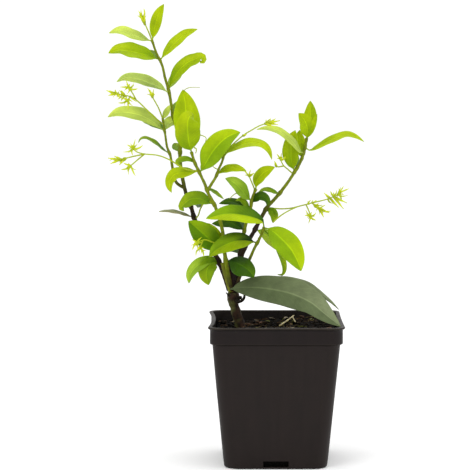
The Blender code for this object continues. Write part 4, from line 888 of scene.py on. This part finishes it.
def cut_slots(pot):
    """Cut the drain notch low in the middle of each side, and colour the points that the cut adds."""
    half = SLOT_WIDTH / 2
    outline = ((-half, SLOT_BOTTOM), (half, SLOT_BOTTOM), (half, SLOT_TOP), (-half, SLOT_TOP))
    cutter = Piece()
    for axis, sign in itertools.product((0, 1), (-1, 1)):
        rings = []
        for depth in SLOT_DEPTHS:
            spots = []
            for side, height in outline:
                spot = Vector((0.0, 0.0, height))
                spot[axis] = sign * depth
                spot[1 - axis] = side
                spots.append(spot)
            rings.append(cutter.ring(spots, POT_SHADE))
        cutter.skin(rings)
    tool = new_object("slots", new_mesh("slots", cutter.points, cutter.faces))
    modifier = pot.modifiers.new("slots", "BOOLEAN")
    modifier.operation = "DIFFERENCE"
    modifier.object = tool
    modifier.solver = "EXACT"
    whole = bpy.data.meshes.new_from_object(pot.evaluated_get(bpy.context.evaluated_depsgraph_get()))
    pot.modifiers.clear()
    whole.set_sharp_from_angle(angle=SHARP_FROM)
    for point, tint in zip(whole.vertices, whole.attributes["tint"].data):
        if SLOT_BOTTOM - SLOT_EDGE < point.co.z < SLOT_TOP + SLOT_EDGE and max(tint.color[:3]) > 0.5:
            tint.color = (*POT_PLAIN, 1.0)
    pot.data = whole
    bpy.data.objects.remove(tool, do_unlink=True)


def soil_height(x, y):
    """The soil's surface: higher on the right, low on the left, with small lumps."""
    slope = SOIL_SLOPE * x / RIM_HALF
    lumps = math.sin(x * 410 + 1.1) * math.sin(y * 370 + 0.4) + 0.6 * math.sin(x * 890 - y * 640)
    return POT_HEIGHT - SOIL_DEPTH + slope + SOIL_RIPPLE * lumps


def on_soil(x, y, above):
    return Vector((x, y, soil_height(x, y) + above))


def make_soil(surface):
    """Potting soil with a fine crumbly top, closed down to the pot's floor."""
    piece = Piece()
    rings = []
    for height in (FLOOR + SOIL_FLOOR_GAP, BAND_FOOT * 0.4, BAND_FOOT - 2.2 * MM):
        half = wall_half(height) - WALL - SOIL_SIDE_GAP
        rings.append(piece.ring(square_ring(half, height), SOIL_SHADOW))
    edge = square_ring(wall_half(BAND_FOOT) - WALL - SOIL_TOP_GAP, POT_HEIGHT - SOIL_DEPTH - SOIL_EDGE_DROP)
    rings.append(piece.ring(edge, SOIL_SHADOW))
    for step in range(SOIL_RINGS + 1):
        scale = max(SOIL_OUTMOST - step / SOIL_RINGS, SOIL_INMOST)
        sink = SOIL_SINK * ease(0.9, SOIL_OUTMOST, scale)
        spots = []
        tints = []
        for point in edge:
            x = point.x * scale
            y = point.y * scale
            grain = noise.noise(Vector((x, y, 0.3)) * 420) + 0.6 * noise.noise(Vector((x, y, 0.7)) * 1100)
            spots.append(on_soil(x, y, grain * SOIL_GRAIN - sink))
            bright = 0.7 + 0.8 * max(noise.noise(Vector((x, y, 1.9)) * 300), -0.5)
            tints.append(dim(SOIL_BROWN, bright))
        rings.append(piece.ring(spots, tints))
    piece.skin(rings)
    piece.finish("soil_body", surface, "soil")


def chip_shape():
    """Twelve corners round a middle, and the triangles between neighbours, facing outward."""
    golden = (1 + math.sqrt(5)) / 2
    corners = []
    for a, b in itertools.product((-1, 1), (-golden, golden)):
        corners += [Vector((0, a, b)), Vector((a, b, 0)), Vector((b, 0, a))]
    faces = []
    for i, j, k in itertools.combinations(range(len(corners)), 3):
        first, second, third = corners[i], corners[j], corners[k]
        if max((first - second).length, (second - third).length, (first - third).length) < CHIP_EDGE_MOST:
            inward = (second - first).cross(third - first).dot(first) < 0
            faces.append((i, k, j) if inward else (i, j, k))
    return corners, faces


def add_chip(piece, shape, centre, size, flat, tint, rng):
    """A small angular chip: a squashed, uneven twelve-cornered lump."""
    corners, faces = shape
    tilt = Vector((rng.uniform(-0.4, 0.4), rng.uniform(-0.4, 0.4), 1)).normalized()
    spin = rng.uniform(0, math.tau)
    side = tilt.orthogonal().normalized()
    wide = side * math.cos(spin) + tilt.cross(side) * math.sin(spin)
    deep = tilt.cross(wide)
    long = rng.uniform(1.0, 1.9)
    spots = []
    for corner in corners:
        jag = rng.uniform(0.7, 1.2) * size / 2
        spots.append(centre + (wide * corner.x * long + deep * corner.y + tilt * corner.z * flat) * jag)
    numbers = piece.ring(spots, tint)
    piece.faces += [tuple(numbers[index] for index in face) for face in faces]


def make_crumbs(surface):
    """Loose crumbs, bark chips, pale flakes and fibres scattered over the soil."""
    rng = random.Random(SCATTER_SEED)
    piece = Piece()
    shape = chip_shape()

    def scatter():
        return rng.uniform(-SCATTER_HALF, SCATTER_HALF), rng.uniform(-SCATTER_HALF, SCATTER_HALF)

    def within(value):
        return min(max(value, -SCATTER_HALF), SCATTER_HALF)

    for _ in range(CRUMBS):
        x, y = scatter()
        size = rng.choice(CRUMB_SIZES) * MM
        place = on_soil(x, y, size * 0.25)
        add_chip(piece, shape, place, size, rng.uniform(0.35, 0.9), rng.choice(CRUMB_TONES), rng)
    for _ in range(FLAKES):
        place = on_soil(*scatter(), 0.6 * MM)
        add_chip(piece, shape, place, rng.uniform(1.2, 2.6) * MM, 0.3, rng.choice(FLAKE_TONES), rng)
    for _ in range(FIBRES):
        x, y = scatter()
        turn = rng.uniform(0, math.tau)
        length = rng.uniform(4, 12) * MM
        spots = []
        for share in evenly(0, 1, 3):
            far_x = within(x * 0.9 + math.cos(turn + share) * length * share)
            far_y = within(y * 0.9 + math.sin(turn + share) * length * share)
            spots.append(on_soil(far_x, far_y, rng.uniform(0.3, 1.5) * MM))
        path = smooth_path(spots, 9)
        tints = [rng.choice(FIBRE_TONES)] * len(path)
        add_tube(piece, path, [rng.uniform(0.12, 0.24) * MM] * len(path), tints, sides=5)
    piece.finish("soil_crumbs", surface, "soil")


def make_straw(surface):
    """Dry stalks with faint bands along them."""
    piece = Piece()
    tints = [mix(STRAW_DRY, STRAW_SHADE, 0.5 + 0.5 * math.sin(step * 1.7))
             for step in range(STRAW_STEPS + 1)]
    for straw in STRAW:
        path, radii = tapered(straw, STRAW_STEPS)
        add_tube(piece, path, radii, tints, sides=8, rough=0.1)
    piece.finish("straw_stalks", surface, "straw")


def girth_at(share):
    """The factor on the trunk's radius at a share of its length."""
    for (low, before), (high, after) in zip(TRUNK_GIRTH, TRUNK_GIRTH[1:]):
        if share <= high:
            return before + (after - before) * (share - low) / (high - low)
    return after


def make_trunk(surface):
    """The old woody foot: knotty bark with a greenish bloom on its left side."""
    piece = Piece()
    path, radii = tapered(TRUNK, TRUNK_STEPS)
    rings = []
    for index, (place, side, across) in enumerate(frames(path)):
        radius = radii[index] * girth_at(index / TRUNK_STEPS)
        spots = []
        tints = []
        for out in around(side, across, TRUNK_SIDES):
            spot = place + out * radius
            ribs = noise.noise(Vector((spot.x, spot.y, spot.z * 0.3)) * 1200)
            spots.append(place + out * radius * (1 + 0.10 * noise.noise(spot * 320) + 0.07 * ribs))
            patch = ease(-0.1, 0.5, noise.noise(spot * 210) - out.x * 0.35)
            base = mix(BARK, RED_BARK, ease(-0.4, 0.4, noise.noise(spot * 500)))
            tints.append(mix(base, MOSS, patch * 0.55))
        rings.append(piece.ring(spots, tints))
    piece.skin(rings)
    for tint, base in STEM_BASES:
        path, radii = tapered(base, BASE_STEPS)
        add_tube(piece, path, radii, [tint] * len(path), sides=12, rough=0.2)
    for spur in TRUNK_SPURS:
        path, radii = tapered(spur, SPUR_STEPS)
        add_tube(piece, path, radii, [BARK] * len(path), sides=12, rough=0.25)
    piece.finish("trunk_wood", surface, "trunk")


def make_shoot(name, order, leaf_skin, bark_skin):
    """A shoot as two pieces: its stems, and all of its leaves."""
    roots = [root_on(name, leaf.rib[0]) for leaf in LEAVES[name]]
    stems = Piece()
    for stem in STEMS[name]:
        add_stem(stems, stem, roots, GREENING[name])
    for places, radius in TWIGS.get(name, []):
        spots = [at(*place) for place in places]
        path = smooth_path(spots, (len(spots) - 1) * 4)
        radii = evenly(radius * MM, radius * MM * TWIG_TIP, len(path) - 1)
        add_tube(stems, path, radii, [STALK_GREEN] * len(path), sides=7, rough=0.1)
    stems.finish(name + "_stems", bark_skin, name)
    blades = Piece()
    for index, (leaf, root) in enumerate(zip(LEAVES[name], roots)):
        add_leaf(blades, leaf, root, order * SEEDS_PER_SHOOT + index)
    blades.finish(name + "_leaves", leaf_skin, name)


def feet_and_tips(rows):
    """Where each petal or bud of some rows starts and ends."""
    return [(at(*foot), at(*tip)) for foot, *tips in rows for tip in tips]


def make_spray(name, surface):
    """A flower spray: its stalks, its petals with smaller ones beside them, and its buds."""
    spray = SPRAYS[name]
    piece = Piece()
    for index, stalk in enumerate(spray.stalks):
        spots = [at(*place) for place in stalk]
        if index == 0:
            spots[0] = root_on(spray.parent, stalk[0])
        steps = (len(spots) - 1) * 5
        tints = [mix(STALK_GREEN, PETAL_GREEN, share) for share in evenly(0, 1, steps)]
        radii = evenly(STALK_RADIUS * 1.15, STALK_RADIUS * 0.9, steps)
        add_tube(piece, smooth_path(spots, steps), radii, tints, sides=8, rough=0.08)
    for index, (foot, tip) in enumerate(feet_and_tips(spray.petals)):
        add_petal(piece, foot, tip, PETAL_HALF, 0.9 + 0.5 * math.sin(index * 2.3), index)
        for turn, share in SIDE_PETALS:
            swing = Quaternion((EYE - foot).normalized(), math.radians(turn + 9 * math.sin(index * 1.7)))
            side_tip = foot + swing @ (tip - foot) * share
            twist = 1.2 + 0.5 * math.sin(index * 3.1)
            add_petal(piece, foot, side_tip, PETAL_HALF * 0.8, twist, index + turn)
    for index, (foot, tip) in enumerate(feet_and_tips(spray.buds)):
        add_bud(piece, foot, tip, index * 0.7)
    piece.finish(name + "_flowers", surface, name)


class Surface:
    """A material on its own shader, with short ways to add nodes."""

    def __init__(self, name, roughness, gloss):
        self.material = bpy.data.materials.new(name)
        self.material.use_nodes = True
        self.tree = self.material.node_tree
        self.shader = self.tree.nodes["Principled BSDF"]
        self.join(roughness, self.shader.inputs["Roughness"])
        self.join(gloss, self.shader.inputs["Specular IOR Level"])

    def join(self, value, socket):
        """Link another node's socket to this one, or put a plain value on it."""
        if isinstance(value, bpy.types.NodeSocket):
            self.tree.links.new(value, socket)
        else:
            socket.default_value = value

    def add(self, kind, operation=None, **values):
        """A node with some of its sockets joined to values, by their names."""
        node = self.tree.nodes.new("ShaderNode" + kind)
        if operation:
            node.operation = operation
        for name, value in values.items():
            self.join(value, node.inputs[name])
        return node

    def math(self, operation, *terms):
        """One step of arithmetic between sockets or plain numbers."""
        node = self.add("Math", operation)
        for term, socket in zip(terms, node.inputs):
            self.join(term, socket)
        return node.outputs[0]

    def plus(self, total, *terms):
        """A total with each (value, weight) added to it."""
        for value, weight in terms:
            total = self.math("MULTIPLY_ADD", value, weight, total)
        return total

    def attribute(self, name, output):
        node = self.add("Attribute")
        node.attribute_name = name
        return node.outputs[output]

    def speckle(self, scale, detail=4.0, stretch=None):
        """Noise over the surface, in object space."""
        spot = self.add("TexCoord").outputs["Object"]
        if stretch:
            spot = self.add("Mapping", Vector=spot, Scale=stretch).outputs["Vector"]
        return self.add("TexNoise", Vector=spot, Scale=scale, Detail=detail).outputs["Fac"]

    def ramp(self, value, *stops):
        """A grey that follows a value, by stops of (position, grey)."""
        node = self.add("ValToRGB", Fac=value)
        while len(node.color_ramp.elements) < len(stops):
            node.color_ramp.elements.new(0.5)
        for element, (position, grey) in zip(node.color_ramp.elements, stops):
            element.position = position
            element.color = (grey, grey, grey, 1.0)
        return node.outputs[0]

    def shade(self, factor):
        """Colour the surface by its points' own tint times a grey factor."""
        colour = self.add("VectorMath", "SCALE", Vector=self.attribute("tint", "Color"), Scale=factor)
        self.join(colour.outputs[0], self.shader.inputs["Base Color"])

    def bump(self, height, depth, strength=1.0):
        node = self.add("Bump", Height=height, Distance=depth, Strength=strength)
        self.join(node.outputs["Normal"], self.shader.inputs["Normal"])


def leaf_surface(name, roughness, vein_depth, blotch):
    """Leaf skin: pale rib and edge, curved side veins, blotches and a soft gloss."""
    skin = Surface(name, roughness, gloss=0.08)
    split = skin.add("SeparateXYZ", Vector=skin.attribute("place", "Vector"))
    aside = skin.math("ABSOLUTE", split.outputs["Y"])
    rib = skin.ramp(aside, (0.0, 1.0), (0.035, 0.9), (0.075, 0.0))
    edge = skin.ramp(aside, (0.0, 0.0), (0.93, 0.0), (1.0, 1.0))
    lean = skin.math("MULTIPLY", skin.math("POWER", aside, 0.8), 0.22)
    phase = skin.math("MULTIPLY", skin.math("SUBTRACT", split.outputs["X"], lean), 15.0)
    veins = skin.ramp(skin.math("FRACT", phase), (0.0, 0.0), (0.42, 0.0), (0.5, 1.0), (0.58, 0.0))
    patches = skin.math("SUBTRACT", skin.speckle(scale=150.0), 0.5)
    fine = skin.math("SUBTRACT", skin.speckle(scale=900.0, detail=2.0), 0.5)
    skin.shade(skin.plus(1.0, (rib, 0.42), (veins, 0.13), (edge, 0.22), (patches, blotch), (fine, 0.18)))
    skin.join(skin.plus(roughness, (patches, 0.35)), skin.shader.inputs["Roughness"])
    skin.bump(skin.plus(rib, (veins, 0.55), (fine, 0.5)), vein_depth)
    return skin.material


def bark_surface():
    skin = Surface("bark_skin", roughness=0.72, gloss=0.2)
    coarse = skin.speckle(scale=420.0, detail=6.0)
    fine = skin.speckle(scale=1500.0, detail=3.0)
    skin.shade(skin.math("MULTIPLY", skin.plus(0.45, (coarse, 1.1)), skin.math("ADD", fine, 0.5)))
    skin.bump(skin.math("ADD", coarse, fine), depth=0.35 * MM, strength=0.8)
    return skin.material


def petal_surface():
    skin = Surface("petal_skin", roughness=0.5, gloss=0.2)
    patches = skin.speckle(scale=500.0)
    skin.shade(skin.plus(0.75, (patches, 0.5)))
    skin.bump(patches, depth=0.1 * MM, strength=0.5)
    return skin.material


def plastic_surface():
    """Thin moulded plastic: upright flow streaks, dusty scuffs and a fine grain."""
    skin = Surface("pot_skin", roughness=0.5, gloss=0.15)
    streak = skin.speckle(scale=190.0, detail=5.0, stretch=(1.0, 1.0, 0.07))
    dust = skin.speckle(scale=70.0, detail=8.0)
    grain = skin.speckle(scale=2600.0, detail=2.0)
    skin.shade(skin.plus(0.33, (streak, 0.55), (dust, 0.5), (grain, 0.3)))
    skin.join(skin.plus(0.34, (dust, 0.3)), skin.shader.inputs["Roughness"])
    skin.bump(skin.plus(streak, (grain, 0.4)), depth=0.06 * MM, strength=0.6)
    return skin.material


def soil_surface():
    skin = Surface("soil_skin", roughness=0.95, gloss=0.1)
    clods = skin.speckle(scale=300.0, detail=8.0)
    grains = skin.speckle(scale=1400.0)
    dark = skin.math("MULTIPLY", skin.math("POWER", clods, 2.0), 3.2)
    skin.shade(skin.math("MULTIPLY", dark, skin.math("ADD", grains, 0.5)))
    skin.bump(skin.math("ADD", clods, grains), depth=0.8 * MM)
    return skin.material


def make_floor():
    mesh = bpy.data.meshes.new("floor")
    reach = FLOOR_REACH
    corners = [(-reach, -reach, 0), (reach, -reach, 0), (reach, reach, 0), (-reach, reach, 0)]
    mesh.from_pydata(corners, [], [(0, 1, 2, 3)])
    paper = Surface("floor_paper", roughness=0.9, gloss=0.5)
    paper.join((FLOOR_WHITE, FLOOR_WHITE, FLOOR_WHITE, 1.0), paper.shader.inputs["Base Color"])
    mesh.materials.append(paper.material)
    new_object("floor", mesh)


def light_scene():
    """A plain white sky and soft area lights."""
    world = bpy.data.worlds.new("studio")
    world.use_nodes = True
    background = world.node_tree.nodes["Background"]
    background.inputs["Color"].default_value = (1.0, 1.0, 1.0, 1.0)
    background.inputs["Strength"].default_value = SKY_STRENGTH
    bpy.context.scene.world = world
    for name, (place, aim, size, power) in LIGHTS.items():
        data = bpy.data.lights.new(name, "AREA")
        data.shape = "RECTANGLE"
        data.size, data.size_y = size
        data.energy = power
        light = new_object(name, data)
        light.location = place
        light.rotation_euler = (Vector(aim) - Vector(place)).to_track_quat("-Z", "Y").to_euler()


def place_camera():
    data = bpy.data.cameras.new("camera")
    data.sensor_width = SENSOR
    data.lens = SENSOR * VIEW_FOCAL / (2 * VIEW_HALF)
    camera = new_object("camera", data)
    camera.location = EYE
    camera.rotation_euler = (math.pi / 2 - EYE_PITCH, 0, 0)
    bpy.context.scene.camera = camera


def build():
    bark_skin = bark_surface()
    leaf_skin = leaf_surface("leaf_skin", roughness=0.4, vein_depth=0.16 * MM, blotch=0.5)
    old_skin = leaf_surface("old_leaf_skin", roughness=0.5, vein_depth=0.14 * MM, blotch=0.7)
    petal_skin = petal_surface()
    soil_skin = soil_surface()
    make_pot(plastic_surface())
    make_soil(soil_skin)
    make_crumbs(soil_skin)
    make_straw(petal_skin)
    make_trunk(bark_skin)
    for order, name in enumerate(STEMS):
        make_shoot(name, order, leaf_skin, bark_skin)
    for order, (name, leaf) in enumerate(OLD_LEAVES.items()):
        blade = Piece()
        add_leaf(blade, leaf, at(*leaf.rib[0]), OLD_LEAF_SEED + order, OLD_LEAF_STEPS)
        blade.finish(name + "_blade", old_skin, name)
    for name in SPRAYS:
        make_spray(name, petal_skin)
    make_floor()
    light_scene()
    place_camera()
    bpy.context.scene.view_settings.view_transform = "Standard"


build()
